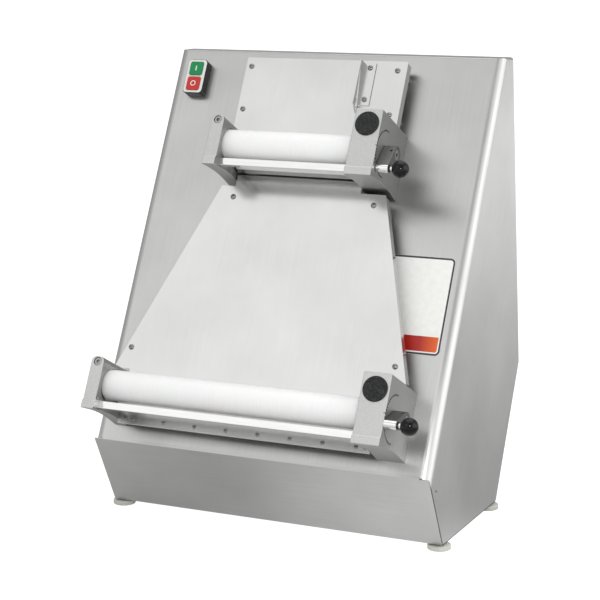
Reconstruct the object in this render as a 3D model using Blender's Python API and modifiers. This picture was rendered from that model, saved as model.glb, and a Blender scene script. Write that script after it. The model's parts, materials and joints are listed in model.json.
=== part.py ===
"""Counter-top dough sheeter with two pairs of rollers on a leaning panel.

Run it with: blender --background --python part.py
Everything is in metres with +Z up and the front of the machine towards -Y.
"""

import math

import bmesh
import bpy
import numpy as np
from mathutils import Vector

# Gap that touching pieces keep, and the clearance of a running fit
SEAT = 0.0003
RUNNING = 0.0003

# Casing: side outline, front to back and bottom to top
CASE_LEFT_MARGIN = 0.0330
CASE_RIGHT_MARGIN = 0.0425
BODY_BOTTOM = 0.0110
BREAK_HEIGHT = 0.1290
CASE_TOP = 0.7250
BASE_DEPTH = 0.246
FRONT_KICK = 0.061
PANEL_SETBACK = 0.3035
TOP_DEPTH = 0.043
REAR_BREAK_HEIGHT = 0.2215
REAR_KICK = 0.104
SHEET = 0.0012
PANEL_BEND = 0.016
TOP_BEND = 0.004
FLANGE = 0.014
EDGE_BEND = 0.002
WINDOW_CORNER = 0.003
COVER_MARGIN = 0.0006

# Vents and cable gland in the rear cover
VENT_ROWS = 9
VENT_PITCH = 0.016
VENT_LENGTH = 0.090
VENT_HEIGHT = 0.005
VENT_RISE = 0.170
GLAND_X = -0.200
GLAND_RISE = 0.110
GLAND_HEX = 0.012
GLAND_BORE = 0.0045

# Feet
FOOT_RADIUS = 0.018
FOOT_PAD = 0.0075
FOOT_EDGE = 0.0014
FOOT_STEM = 0.007
FOOT_INSET_X = 0.0105
FOOT_INSET_Y = 0.012

# Roller stages, measured up the panel from its lower edge and out from its face
UPPER_DROP = 0.2632
LOWER_SPAN = 0.429
UPPER_SPAN = 0.220
UPPER_CENTRE = -0.004
AXLE_UP = 0.068
AXLE_OUT = 0.0763
ROLLER_RADIUS = 0.0240
ROLLER_END_GAP = 0.0015
ROLLER_RECESS = 0.0045
RECESS_MARGIN = 0.0015
ROLLER_EDGE = 0.0015
ECCENTRICITY = 0.003
CLOSED_NIP = 0.0005
LEVER_OPEN = math.radians(-95)
LOWER_REST = math.radians(-23)
UPPER_REST = math.radians(-55)
AXLE_JOURNAL = 0.008
AXLE_CORE = 0.0115
SHAFT_RADIUS = 0.009
BEARING_RADIUS = 0.015
BEARING_WIDTH = 0.009
BEARING_SEAT = 0.0105

# End castings
BRACKET_WIDTH = 0.0215
BRACKET_WALL = 0.005
BRACKET_TOP = 0.107
BRACKET_ROUND = 0.0085
BRACKET_BROW = 0.003
HOUSING_WIDTH = 0.044
HOUSING_TOP = 0.1275
HOUSING_ROUND = 0.003
HOUSING_BROW = 0.002
CASTING_OUT = 0.114
HOUSING_FOOT = 0.0195
BRACKET_FOOT_UP = 0.0235
CASTING_ARCH = 0.005
CASTING_EDGE = 0.0015
LIP_HEIGHT = 0.0145
LIP_OUT = 0.0025
LIP_CORNER = 0.0015
POCKET_LOW = 0.0265
POCKET_HIGH = 0.1215
POCKET_DEPTH = 0.048
POCKET_WALL = 0.006
WINDOW_EASE = 0.0015
BRACKET_SCREW_UP = 0.0985
BRACKET_SCREW_HEAD = 0.0064
BRACKET_SCREW_SHANK = 0.004
SCREW_HEAD_HEIGHT = 0.0075
SCREW_HEAD_CHAMFER = 0.0007
SCREW_SINK = 0.009
CAP_UP = 0.1023
CAP_RADIUS = 0.01935
CAP_RIM = 0.0016
CAP_SPIGOT = 0.0150
CAP_SINK = 0.006

# Gap lever and index plunger
LEVER_REACH = 0.036
LEVER_THICKNESS = 0.0195
LEVER_HUB = 0.0135
LEVER_TIP = 0.0070
LEVER_LIFT = 0.0006
LEVER_EDGE = 0.0010
AXLE_END_SINK = 0.0005
AXLE_END_HOLE = 0.0032
AXLE_END_DEPTH = 0.006
GRUB_ANGLE = math.radians(62)
GRUB_OUT = 0.0145
GRUB_RADIUS = 0.0019
GRUB_DEPTH = 0.004
SLEEVE_RADIUS = 0.0055
SLEEVE_NECK = 0.0046
SLEEVE_LENGTH = 0.0020
SLEEVE_EDGE = 0.0004
PIN_RADIUS = 0.0016
PIN_LENGTH = 0.0060
STEM_RADIUS = 0.0035
STEM_SHOW = 0.0027
BALL_RADIUS = 0.0134
BALL_BORE_END = 0.0065
BALL_FLAT = 0.0012
INDEX_HOLES = 24
INDEX_PITCH = math.radians(8)
INDEX_HOLE_RADIUS = 0.0018
INDEX_HOLE_DEPTH = 0.003
INDEX_HOLE_STEPS = 8

# Scrapers
GUARD_OUT = 0.100
GUARD_TOP = 0.0395
GUARD_BOTTOM = 0.0288
GUARD_BACK = 0.066
GUARD_SHEET = 0.0015
BLADE_GAP = 0.0005
BAR_FRONT = 0.034
BAR_THICKNESS = 0.005
LOWER_BAR_BOTTOM = 0.0216
UPPER_BAR_BOTTOM = 0.0395

# Feed plate, transfer chute and dough guide; overhangs are past the castings' outer faces
PLATE_OUT = 0.033
PLATE = 0.0015
PLATE_RETURN = 0.015
FEED_LEFT_OVERHANG = 0.0025
FEED_RIGHT_INSET = 0.0085
FEED_TOP_DROP = 0.0242
MOUTH_GAP = 0.001
PLATE_GAP = 0.002
CHUTE_TOP_GAP = 0.003
CHUTE_NOTCH_UP = 0.0175
CHUTE_LEFT_OVERHANG = 0.0005
CHUTE_RIGHT_INSET = 0.0040
CHUTE_LOW_LEFT_OVERHANG = 0.0060
CHUTE_LOW_RIGHT_INSET = 0.0075
POST_RADIUS = 0.005
POST_INSET = 0.0135
FEED_POST_DROP = 0.0155
FEED_POST_RISE = 0.0215
CHUTE_POST_DROP = 0.0185
CHUTE_POST_RISE = 0.0215
GUIDE_INSET = 0.0388
GUIDE_FOOT = 0.0220
GUIDE_HEIGHT = 0.0165
GUIDE_LENGTH = 0.072
GUIDE_DROP = 0.0045
GUIDE_POINT = 0.0125

# Switch
SWITCH_FROM_LEFT = 0.0475
SWITCH_DROP = 0.0532
SWITCH_WIDTH = 0.036
SWITCH_HEIGHT = 0.060
SWITCH_OUT = 0.0165
SWITCH_CORNER = 0.007
SWITCH_BODY_INSET = 0.0075
SWITCH_BODY_DEPTH = 0.038
BEZEL = 0.0018
BEZEL_INSET = 0.0012
BUTTON_SIZE = 0.0235
BUTTON_SPACING = 0.0265
BUTTON_CORNER = 0.0035
BUTTON_PROUD = 0.0015
BUTTON_POCKET = 0.008
BUTTON_TRAVEL = 0.003
BUTTON_EDGE = 0.0008
BUTTON_CLEARANCE = 0.0004

# Drive behind the panel
DRIVE_DROP = 0.0995
DRIVE_BACK = 0.206
DRIVE_SHAFT = 0.010
DRIVE_PULLEY = 0.022
DRIVEN_PULLEY = 0.014
PULLEY_WIDTH = 0.018
PULLEY_FLANGE = 0.004
PULLEY_CHEEK = 0.0018
BELT_WIDTH = 0.0125
BELT_THICKNESS = 0.0025
MOTOR_PLATE_X = 0.060
MOTOR_PLATE = 0.004
BRACKET_FOOT = 0.030
BRACKET_HALF = 0.105
BRACKET_NOSE = 0.060
SHAFT_NOSE = 0.031
NOSE_ROUND = 0.030
BEARING_PLATE_X = 0.172
BEARING_HUB = 0.022
BEARING_HUB_WIDTH = 0.018
GEARBOX_HALF = 0.055
GEARBOX_EDGE = 0.004
GEARBOX_LENGTH = 0.062
MOTOR_RADIUS = 0.052
MOTOR_FIN = 0.006
MOTOR_FINS = 20
MOTOR_LENGTH = 0.120
COWL_LENGTH = 0.045
COWL_EDGE = 0.008
COWL_LAP = 0.010
CONTROL_BOX = (0.130, 0.085, 0.062)
CONTROL_BOX_X = -0.120

# Segments of round shapes
ROLLER_STEPS = 40
ROUND_STEPS = 28
SMALL_STEPS = 16
CORNER_STEPS = 4

# Turns a shape built along its own Z so that it lies along +X, with its X up the panel
ALONG_X = (math.pi / 2, 0, math.pi / 2)

CASE_WIDTH = CASE_LEFT_MARGIN + BRACKET_WIDTH + LOWER_SPAN + HOUSING_WIDTH + CASE_RIGHT_MARGIN

# Corners of the casing's side outline as (y, z)
FRONT_BOTTOM = Vector((-BASE_DEPTH / 2, BODY_BOTTOM))
FRONT_BREAK = Vector((FRONT_BOTTOM.x - FRONT_KICK, BREAK_HEIGHT))
TOP_FRONT = Vector((FRONT_BREAK.x + PANEL_SETBACK, CASE_TOP))
TOP_REAR = Vector((TOP_FRONT.x + TOP_DEPTH, CASE_TOP))
REAR_BOTTOM = Vector((BASE_DEPTH / 2, BODY_BOTTOM))
REAR_BREAK = Vector((REAR_BOTTOM.x + REAR_KICK, REAR_BREAK_HEIGHT))

PANEL_TILT = math.atan2(TOP_FRONT.y - FRONT_BREAK.y, TOP_FRONT.x - FRONT_BREAK.x)
REAR_ROLLER_OUT = AXLE_OUT - 2 * ROLLER_RADIUS - ECCENTRICITY - CLOSED_NIP
MOUTH_UP = AXLE_UP + MOUTH_GAP + math.sqrt(
    ROLLER_RADIUS ** 2 - (PLATE_OUT - PLATE - REAR_ROLLER_OUT) ** 2)
PANEL_LENGTH = (TOP_FRONT - FRONT_BREAK).length
UPPER_RISE = PANEL_LENGTH - UPPER_DROP
FEED_TOP = PANEL_LENGTH - FEED_TOP_DROP
DRIVE_UP = UPPER_RISE - DRIVE_DROP
PULLEY_X = BEARING_SEAT + (HOUSING_WIDTH - BEARING_SEAT - POCKET_WALL) / 2
ARM_FACE = HOUSING_WIDTH + LEVER_LIFT + LEVER_THICKNESS
BALL_X = ARM_FACE + SLEEVE_LENGTH + STEM_SHOW + BALL_RADIUS
COVER_OUT = SEAT + SHEET


class Stage:
    """One pair of rollers: its height up the panel, its castings' inner faces, its lever's rest."""

    def __init__(self, name, rise, left, span, bar_bottom, rest):
        self.name = name
        self.rise = rise
        self.left = left
        self.right = left + span
        self.bar_bottom = bar_bottom
        self.tip = (LEVER_REACH * math.sin(rest), LEVER_REACH * math.cos(rest))
        turn = rest - LEVER_OPEN
        self.offset = (ECCENTRICITY * math.sin(turn), ECCENTRICITY * math.cos(turn))
        self.rest = rest
        self.grub = rest + GRUB_ANGLE


LOWER = Stage("lower", 0.0, CASE_LEFT_MARGIN + BRACKET_WIDTH - CASE_WIDTH / 2, LOWER_SPAN,
              LOWER_BAR_BOTTOM, LOWER_REST)
UPPER = Stage("upper", UPPER_RISE, UPPER_CENTRE - UPPER_SPAN / 2, UPPER_SPAN, UPPER_BAR_BOTTOM, UPPER_REST)


def clear_scene():
    """Remove every object of the open scene."""
    for obj in list(bpy.data.objects):
        bpy.data.objects.remove(obj, do_unlink=True)


def new_collection(name):
    """Make a collection in the scene."""
    group = bpy.data.collections.new(name)
    bpy.context.scene.collection.children.link(group)
    return group


clear_scene()
PARTS = new_collection("dough_sheeter")
CUTTERS = new_collection("cutters")


def new_material(name, colour, roughness, metallic):
    """Make a plain Principled material."""
    material = bpy.data.materials.new(name)
    material.use_nodes = True
    shader = material.node_tree.nodes["Principled BSDF"]
    shader.inputs["Base Color"].default_value = (*colour, 1.0)
    shader.inputs["Roughness"].default_value = roughness
    shader.inputs["Metallic"].default_value = metallic
    material.diffuse_color = (*colour, 1.0)
    return material


STAINLESS = new_material("brushed_stainless", (0.58, 0.58, 0.57), 0.32, 1.0)
CAST = new_material("satin_cast_aluminium", (0.62, 0.62, 0.62), 0.45, 1.0)
POLISHED = new_material("polished_steel", (0.75, 0.75, 0.75), 0.15, 1.0)
WHITE = new_material("white_roller_plastic", (0.84, 0.84, 0.83), 0.40, 0.0)
BLACK_GLOSS = new_material("glossy_black_phenolic", (0.008, 0.008, 0.008), 0.08, 0.0)
BEZEL_WHITE = new_material("white_bezel_plastic", (0.80, 0.80, 0.79), 0.30, 0.0)
BLACK_MATT = new_material("matt_black_plastic", (0.025, 0.026, 0.025), 0.55, 0.0)
GREEN = new_material("green_button_plastic", (0.015, 0.34, 0.14), 0.30, 0.0)
RED = new_material("red_button_plastic", (0.62, 0.06, 0.05), 0.30, 0.0)
FOOT_GREY = new_material("grey_foot_rubber", (0.56, 0.56, 0.52), 0.60, 0.0)
STEEL = new_material("machined_steel", (0.45, 0.45, 0.46), 0.30, 1.0)
PAINT = new_material("grey_machine_paint", (0.20, 0.22, 0.23), 0.45, 0.0)
BELT = new_material("black_belt_rubber", (0.02, 0.02, 0.02), 0.70, 0.0)


def place(obj, parent, location, rotation, group=None):
    """Link an object and set it in its parent's frame."""
    (group or PARTS).objects.link(obj)
    obj.parent = parent
    obj.location = location
    obj.rotation_euler = rotation
    return obj


def empty(name, parent, location, rotation=(0, 0, 0)):
    """Make a frame that pieces hang from."""
    return place(bpy.data.objects.new(name, None), parent, location, rotation)


def mesh_object(name, bm, material, parent, location=(0, 0, 0), rotation=(0, 0, 0)):
    """Turn a bmesh into a placed object."""
    mesh = bpy.data.meshes.new(name)
    bm.to_mesh(mesh)
    bm.free()
    mesh.shade_smooth()
    mesh.set_sharp_from_angle(angle=math.radians(35))
    if material:
        mesh.materials.append(material)
    return place(bpy.data.objects.new(name, mesh), parent, location, rotation)


def as_cutter(obj):
    """Move an object to the cutters, out of the render."""
    PARTS.objects.unlink(obj)
    CUTTERS.objects.link(obj)
    obj.hide_render = True
    obj.display_type = "WIRE"
    return obj


def combine(target, tool, operation="DIFFERENCE"):
    """Cut, join or intersect a piece with a tool object."""
    modifier = target.modifiers.new(tool.name, "BOOLEAN")
    modifier.operation = operation
    modifier.object = as_cutter(tool)
    modifier.solver = "EXACT"
    return target


def bevel(obj, width, segments=2, angle=math.radians(40)):
    """Round the sharp edges of a piece."""
    modifier = obj.modifiers.new("bevel", "BEVEL")
    modifier.width = width
    modifier.segments = segments
    modifier.limit_method = "ANGLE"
    modifier.angle_limit = angle
    return obj


def block(name, low, high, material, parent, rotation=(0, 0, 0)):
    """Make a box between two corners; its origin is its middle."""
    low = Vector(low)
    high = Vector(high)
    bm = bmesh.new()
    bmesh.ops.create_cube(bm, size=1)
    bmesh.ops.scale(bm, vec=high - low, verts=bm.verts)
    return mesh_object(name, bm, material, parent, (low + high) / 2, rotation)


def rod(name, radius, length, material, parent, location, rotation=ALONG_X, steps=ROUND_STEPS):
    """Make a cylinder that starts at its origin and runs along its own +Z."""
    bm = bmesh.new()
    bmesh.ops.create_cone(
        bm, cap_ends=True, segments=steps, radius1=radius, radius2=radius, depth=length)
    bmesh.ops.translate(bm, vec=(0, 0, length / 2), verts=bm.verts)
    return mesh_object(name, bm, material, parent, location, rotation)


def turned(name, profile, material, parent, location, rotation=ALONG_X, steps=ROUND_STEPS, ring=False):
    """Make a turned piece from (radius, height) points that run down its outer side."""
    bm = bmesh.new()
    points = [bm.verts.new((radius, 0, height)) for radius, height in profile]
    for first, second in zip(points, points[1:]):
        bm.edges.new((first, second))
    if ring:
        bm.edges.new((points[-1], points[0]))
    obj = mesh_object(name, bm, material, parent, location, rotation)
    screw = obj.modifiers.new("turn", "SCREW")
    screw.axis = "Z"
    screw.steps = steps
    screw.render_steps = steps
    screw.use_merge_vertices = True
    screw.merge_threshold = 0.00001
    return obj


def slab(name, outlines, thickness, material, parent, location=(0, 0, 0), rotation=(0, 0, 0)):
    """Make a flat piece, half its thickness to each side of its own XY plane."""
    curve = bpy.data.curves.new(name, "CURVE")
    curve.dimensions = "2D"
    curve.fill_mode = "BOTH"
    curve.extrude = thickness / 2
    for outline in outlines:
        spline = curve.splines.new("POLY")
        spline.points.add(len(outline) - 1)
        spline.use_cyclic_u = True
        for point, (x, y) in zip(spline.points, outline):
            point.co = (x, y, 0, 1)
    drawn = place(bpy.data.objects.new(name + "_drawn", curve), None, (0, 0, 0), (0, 0, 0))
    depsgraph = bpy.context.evaluated_depsgraph_get()
    mesh = bpy.data.meshes.new_from_object(drawn.evaluated_get(depsgraph))
    bm = bmesh.new()
    bm.from_mesh(mesh)
    bmesh.ops.remove_doubles(bm, verts=bm.verts, dist=0.00001)
    bpy.data.objects.remove(drawn, do_unlink=True)
    bpy.data.curves.remove(curve)
    bpy.data.meshes.remove(mesh)
    return mesh_object(name, bm, material, parent, location, rotation)


def arc(centre, radius, start, end, steps):
    """Give points along an arc, ends included."""
    angles = np.linspace(start, end, steps + 1)
    return [(centre[0] + radius * math.cos(a), centre[1] + radius * math.sin(a)) for a in angles]


def rounded(corners, steps=CORNER_STEPS):
    """Give an outline whose corners, as (x, y, radius), are filleted."""
    outline = []
    count = len(corners)
    for index, (x, y, radius) in enumerate(corners):
        here = Vector((x, y))
        if radius <= 0:
            outline.append((x, y))
            continue
        back = (Vector(corners[index - 1][:2]) - here).normalized()
        ahead = (Vector(corners[(index + 1) % count][:2]) - here).normalized()
        half = back.angle(ahead) / 2
        centre = here + (back + ahead).normalized() * radius / math.sin(half)
        first = here + back * radius / math.tan(half) - centre
        last = here + ahead * radius / math.tan(half) - centre
        sweep = first.angle_signed(last)
        start = math.atan2(first.y, first.x)
        outline += arc(centre, radius, start, start - sweep, steps)
    return outline


def rectangle(x0, y0, x1, y1, radius=0.0):
    """Give a rectangle's outline with rounded corners."""
    return rounded([(x0, y0, radius), (x1, y0, radius), (x1, y1, radius), (x0, y1, radius)])


def offset_line(points, distance):
    """Shift an open line of points sideways, to its left, with mitred corners."""
    points = [Vector(point) for point in points]
    shifted = []
    for index, here in enumerate(points):
        sides = []
        if index > 0:
            sides.append((here - points[index - 1]).normalized())
        if index < len(points) - 1:
            sides.append((points[index + 1] - here).normalized())
        normals = [Vector((-side.y, side.x)) for side in sides]
        mean = sum(normals, Vector((0, 0))).normalized()
        shifted.append(here + mean * distance / mean.dot(normals[0]))
    return shifted


def strip(points, thickness):
    """Give the closed section of a sheet that follows a line and thickens to its left."""
    near = [tuple(point) for point in points]
    far = [tuple(point) for point in offset_line(points, thickness)]
    return near + far[::-1]


def sheet_flange(bm, edge, direction, inset):
    """Turn a flange in from the middle stretch of an open edge of a sheet."""
    length = edge.calc_length()
    start = edge.verts[0]
    middle, corner = bmesh.utils.edge_split(edge, start, inset / length)
    rest = next(item for item in corner.link_edges if start not in item.verts)
    middle, end = bmesh.utils.edge_split(rest, corner, (length - 2 * inset) / (length - inset))
    stretch = next(item for item in corner.link_edges if end in item.verts)
    grown = bmesh.ops.extrude_edge_only(bm, edges=[stretch])["geom"]
    moved = [item for item in grown if isinstance(item, bmesh.types.BMVert)]
    bmesh.ops.translate(bm, vec=direction, verts=moved)


def find_edge(bm, first, second):
    """Find the edge between two corners of a sheet."""
    for edge in bm.edges:
        ends = [vert.co for vert in edge.verts]
        for one, two in (ends, ends[::-1]):
            if (one - Vector(first)).length < SEAT and (two - Vector(second)).length < SEAT:
                return edge
    raise ValueError("no such edge")


# Frames that the pieces are placed in

HOUSING_NOSE = FRONT_BREAK.x + math.cos(PANEL_TILT) * HOUSING_FOOT \
    - math.sin(PANEL_TILT) * (CASTING_OUT + LIP_OUT)
FAR_LEFT = FOOT_INSET_X - CASE_WIDTH / 2 - FOOT_RADIUS
FAR_RIGHT = max(LOWER.right + BALL_X + BALL_RADIUS, -FAR_LEFT)
FAR_BACK = REAR_BREAK.x + COVER_OUT
MACHINE = empty(
    "machine", None, (-(FAR_LEFT + FAR_RIGHT) / 2, -(HOUSING_NOSE + FAR_BACK) / 2, 0))
PANEL = empty("panel_frame", MACHINE, (0, FRONT_BREAK.x, FRONT_BREAK.y), (PANEL_TILT, 0, 0))
SWITCH = empty(
    "switch_frame", PANEL, (SWITCH_FROM_LEFT - CASE_WIDTH / 2, PANEL_LENGTH - SWITCH_DROP, 0))
STAGE_FRAMES = {
    stage.name: empty(stage.name + "_frame", PANEL, (0, stage.rise, 0)) for stage in (LOWER, UPPER)}


def drive_opening(stage):
    """Give the panel opening that a stage's belt runs through, as (low x, low y, high x, high y)."""
    left = stage.right + BEARING_SEAT + COVER_MARGIN
    right = stage.right + HOUSING_WIDTH - POCKET_WALL - COVER_MARGIN
    return (left, stage.rise + POCKET_LOW - WINDOW_EASE, right, stage.rise + POCKET_HIGH + WINDOW_EASE)


def casing_solid(name, inset):
    """Give the casing's outside shape, or with an inset its inside, as a solid."""
    line = [TOP_REAR, TOP_FRONT, FRONT_BREAK, FRONT_BOTTOM, REAR_BOTTOM, REAR_BREAK]
    closed = offset_line([line[-1]] + line + [line[0]], inset)[1:-1]
    bends = (TOP_BEND, TOP_BEND, TOP_BEND, EDGE_BEND, EDGE_BEND, TOP_BEND)
    outline = rounded([(*point, bend - inset) for point, bend in zip(closed, bends)], 3)
    width = CASE_WIDTH - 2 * inset
    solid = slab(name, [outline], width, STAINLESS, MACHINE, rotation=ALONG_X)
    half = width / 2
    bend = PANEL_BEND - inset
    reach = 4 * PANEL_LENGTH
    section = rounded([(-half, -reach, 0), (half, -reach, 0), (half, -inset, bend),
                       (-half, -inset, bend)], 6)
    wrap = slab(name + "_bends", [section], reach, None, PANEL, rotation=(math.pi / 2, 0, 0))
    combine(solid, wrap, "INTERSECT")
    top = CASE_TOP - inset
    bend = TOP_BEND - inset
    front = rounded([(-half, -top, 0), (half, -top, 0), (half, top, bend), (-half, top, bend)], 3)
    ends = slab(name + "_top_bends", [front], reach, None, MACHINE, rotation=(math.pi / 2, 0, 0))
    return combine(solid, ends, "INTERSECT")


def casing_window(name, line, margins):
    """Give a cutter that opens the casing behind a cover but leaves a flange all round."""
    points = [Vector(point) for point in line]
    points[0] = points[0] + (points[1] - points[0]).normalized() * margins[0]
    points[-1] = points[-1] + (points[-2] - points[-1]).normalized() * margins[1]
    section = strip(offset_line(points, -2 * SHEET), 4 * SHEET)
    return slab(name, [section], CASE_WIDTH - 2 * FLANGE, None, MACHINE, rotation=ALONG_X)


def casing_shell():
    """Fold the sides, the leaning panel and the top from one sheet, with flanges for the covers."""
    shell = casing_solid("casing_shell", 0.0)
    combine(shell, casing_solid("casing_inside", SHEET))
    rear = casing_window("rear_window", [REAR_BOTTOM, REAR_BREAK, TOP_REAR], (FLANGE, FLANGE))
    combine(shell, rear)
    combine(shell, casing_window("bottom_window", [REAR_BOTTOM, FRONT_BOTTOM], (FLANGE, FLANGE)))
    combine(shell, casing_window("front_window", [FRONT_BREAK, FRONT_BOTTOM], (FLANGE, FLANGE)))
    depth = 4 * SHEET
    for stage in (LOWER, UPPER):
        outline = rectangle(*drive_opening(stage), WINDOW_CORNER)
        combine(shell, slab(stage.name + "_belt_window", [outline], depth, None, PANEL))
    half_x = SWITCH_WIDTH / 2 - SWITCH_BODY_INSET + COVER_MARGIN
    half_y = SWITCH_HEIGHT / 2 - SWITCH_BODY_INSET + COVER_MARGIN
    hole = rectangle(-half_x, -half_y, half_x, half_y, WINDOW_CORNER)
    combine(shell, slab("switch_window", [hole], depth, None, SWITCH))


def covers():
    """Screw the lower front panel, the rear cover and the base plate onto the flanges."""
    width = CASE_WIDTH - 2 * COVER_MARGIN
    front = (FRONT_BOTTOM - FRONT_BREAK).normalized()
    line = [FRONT_BREAK + front * SHEET, FRONT_BOTTOM]
    section = strip(offset_line(line, -SEAT), -SHEET)
    slab("lower_front_panel", [section], width, STAINLESS, MACHINE, rotation=ALONG_X)

    top = TOP_REAR + (REAR_BREAK - TOP_REAR).normalized() * TOP_BEND
    line = offset_line([REAR_BOTTOM, REAR_BREAK, top], -SEAT)
    cover = slab("rear_cover", [strip(line, -SHEET)], width, STAINLESS, MACHINE, rotation=ALONG_X)
    rise = (TOP_REAR - REAR_BREAK).normalized()
    tilt = math.atan2(rise.y, rise.x)
    for row in range(VENT_ROWS):
        spot = REAR_BREAK + rise * (VENT_RISE + row * VENT_PITCH)
        slot = rectangle(-VENT_LENGTH / 2, -VENT_HEIGHT / 2, VENT_LENGTH / 2, VENT_HEIGHT / 2,
                         VENT_HEIGHT / 2 - 0.0002)
        combine(cover, slab("vent_%d" % row, [slot], 6 * SHEET, None, MACHINE, (0, *spot), (tilt, 0, 0)))
    lower = (REAR_BREAK - REAR_BOTTOM).normalized()
    spot = REAR_BOTTOM + lower * GLAND_RISE
    outward = Vector((lower.y, -lower.x))
    turn = (math.atan2(outward.y, outward.x) + math.pi / 2, 0, 0)
    hole = rod("gland_hole", GLAND_HEX * 0.7 + SEAT, 8 * SHEET, None, MACHINE,
               (GLAND_X, *(spot - outward * 4 * SHEET)), (turn[0] + math.pi, 0, 0), SMALL_STEPS)
    combine(cover, hole)
    cable_gland(spot + outward * (COVER_OUT + SEAT), (turn[0] + math.pi, 0, 0))

    low = (-width / 2, FRONT_BOTTOM.x + COVER_MARGIN, BODY_BOTTOM - SEAT - SHEET)
    high = (width / 2, REAR_BOTTOM.x - COVER_MARGIN, BODY_BOTTOM - SEAT)
    block("base_plate", low, high, STAINLESS, MACHINE)


def cable_gland(spot, rotation):
    """Make the mains inlet: a threaded neck, a hexagon and a domed clamping nut with a bore."""
    neck = GLAND_HEX * 0.7
    profile = [
        (GLAND_BORE, 0.020), (GLAND_HEX * 0.62, 0.020), (GLAND_HEX * 0.85, 0.016),
        (GLAND_HEX * 0.85, 0.007), (GLAND_HEX, 0.0065), (GLAND_HEX, 0.0), (neck, 0.0),
        (neck, -0.012), (GLAND_BORE, -0.012)]
    turned("cable_gland", profile, BLACK_MATT, MACHINE, (GLAND_X, *spot), rotation, SMALL_STEPS, ring=True)


def feet():
    """Stand the base plate on four rubber feet."""
    top = BODY_BOTTOM - SEAT - SHEET - SEAT
    inner = FOOT_RADIUS - FOOT_EDGE
    profile = [
        (0, top), (FOOT_STEM, top), (FOOT_STEM, FOOT_PAD), (inner, FOOT_PAD),
        (FOOT_RADIUS, FOOT_PAD - FOOT_EDGE), (FOOT_RADIUS, FOOT_EDGE), (inner, 0), (0, 0)]
    for depth, y in (("front", FRONT_BOTTOM.x + FOOT_INSET_Y), ("rear", REAR_BOTTOM.x - FOOT_INSET_Y)):
        for side, x in (("left", -CASE_WIDTH / 2 + FOOT_INSET_X), ("right", CASE_WIDTH / 2 - FOOT_INSET_X)):
            name = "foot_%s_%s" % (depth, side)
            turned(name, profile, FOOT_GREY, MACHINE, (x, y, 0), (0, 0, 0), ROUND_STEPS)


def casting_side(foot, top, corner):
    """Give a casting's side outline as (up the panel, out from it): flat top, lipped nose, arched foot."""
    lip = foot + LIP_HEIGHT
    nose = CASTING_OUT + LIP_OUT
    arch = [(foot + CASTING_ARCH * math.sin(math.pi * part), SEAT + (CASTING_OUT - SEAT) * part)
            for part in np.linspace(0, 1, 9)]
    front = rounded([
        (foot, nose, LIP_CORNER), (lip - LIP_OUT, nose, LIP_CORNER), (lip, CASTING_OUT, 0),
        (top, CASTING_OUT, corner), (top, SEAT, 0), (foot, SEAT, 0)], 3)
    return arch[:-1] + front[:-1]


def left_bracket(stage):
    """Cast the narrow left bracket: rounded front, socket screw, blind bores for axle and shaft."""
    frame = STAGE_FRAMES[stage.name]
    prefix = stage.name + "_left"
    left = stage.left - BRACKET_WIDTH
    middle = stage.left - BRACKET_WIDTH / 2
    side = casting_side(BRACKET_FOOT_UP, BRACKET_TOP, BRACKET_BROW)
    body = slab(prefix + "_bracket", [side], BRACKET_WIDTH, CAST, frame, (middle, 0, 0), ALONG_X)
    front = rounded([(left, 0, 0), (stage.left, 0, 0), (stage.left, BRACKET_TOP, BRACKET_ROUND),
                     (left, BRACKET_TOP, BRACKET_ROUND)])
    combine(body, slab(prefix + "_front", [front], 4 * CASTING_OUT, None, frame), "INTERSECT")
    bevel(body, CASTING_EDGE, 2, math.radians(50))
    reach = ROLLER_RADIUS + ECCENTRICITY + RECESS_MARGIN
    recess = belt_line(Vector((AXLE_UP, AXLE_OUT)), reach, Vector((AXLE_UP, REAR_ROLLER_OUT)), reach)
    combine(body, slab(prefix + "_recess", [recess], 2 * ROLLER_RECESS, None, frame,
                       (stage.left, 0, 0), ALONG_X))
    journal = rod(prefix + "_axle_bore", AXLE_JOURNAL + RUNNING, BRACKET_WIDTH, None, frame,
                  (left + BRACKET_WALL - RUNNING, AXLE_UP, AXLE_OUT))
    combine(body, journal)
    seat = rod(prefix + "_bearing_bore", BEARING_RADIUS + SEAT, BRACKET_WIDTH, None, frame,
               (stage.left - ROLLER_RECESS - BEARING_SEAT, AXLE_UP, REAR_ROLLER_OUT))
    combine(body, seat)
    sink = rod(prefix + "_screw_sink", BRACKET_SCREW_HEAD + SEAT, SCREW_SINK * 2, None, frame,
               (middle, BRACKET_SCREW_UP, CASTING_OUT - SCREW_SINK), (0, 0, 0), SMALL_STEPS)
    combine(body, sink)
    hole = rod(prefix + "_screw_hole", BRACKET_SCREW_SHANK + SEAT, 2 * CASTING_OUT, None, frame,
               (middle, BRACKET_SCREW_UP, -CASTING_OUT / 2), (0, 0, 0), SMALL_STEPS)
    combine(body, hole)
    bracket_screw(stage, middle)


def bracket_screw(stage, x):
    """Fit the socket screw that holds the left bracket to the panel."""
    head = SCREW_HEAD_HEIGHT
    rim = BRACKET_SCREW_HEAD - SCREW_HEAD_CHAMFER
    base = CASTING_OUT - SCREW_SINK + SEAT
    profile = [
        (0, base + head), (rim, base + head), (BRACKET_SCREW_HEAD, base + head - SCREW_HEAD_CHAMFER),
        (BRACKET_SCREW_HEAD, base), (BRACKET_SCREW_SHANK, base), (BRACKET_SCREW_SHANK, SEAT), (0, SEAT)]
    frame = STAGE_FRAMES[stage.name]
    name = stage.name + "_bracket_screw"
    screw = turned(name, profile, STEEL, frame, (x, BRACKET_SCREW_UP, 0), (0, 0, 0), SMALL_STEPS)
    socket = rod(name + "_socket", BRACKET_SCREW_HEAD * 0.5, head, None, frame,
                 (x, BRACKET_SCREW_UP, base + head * 0.5), (0, 0, 0), 6)
    combine(screw, socket)


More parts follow.
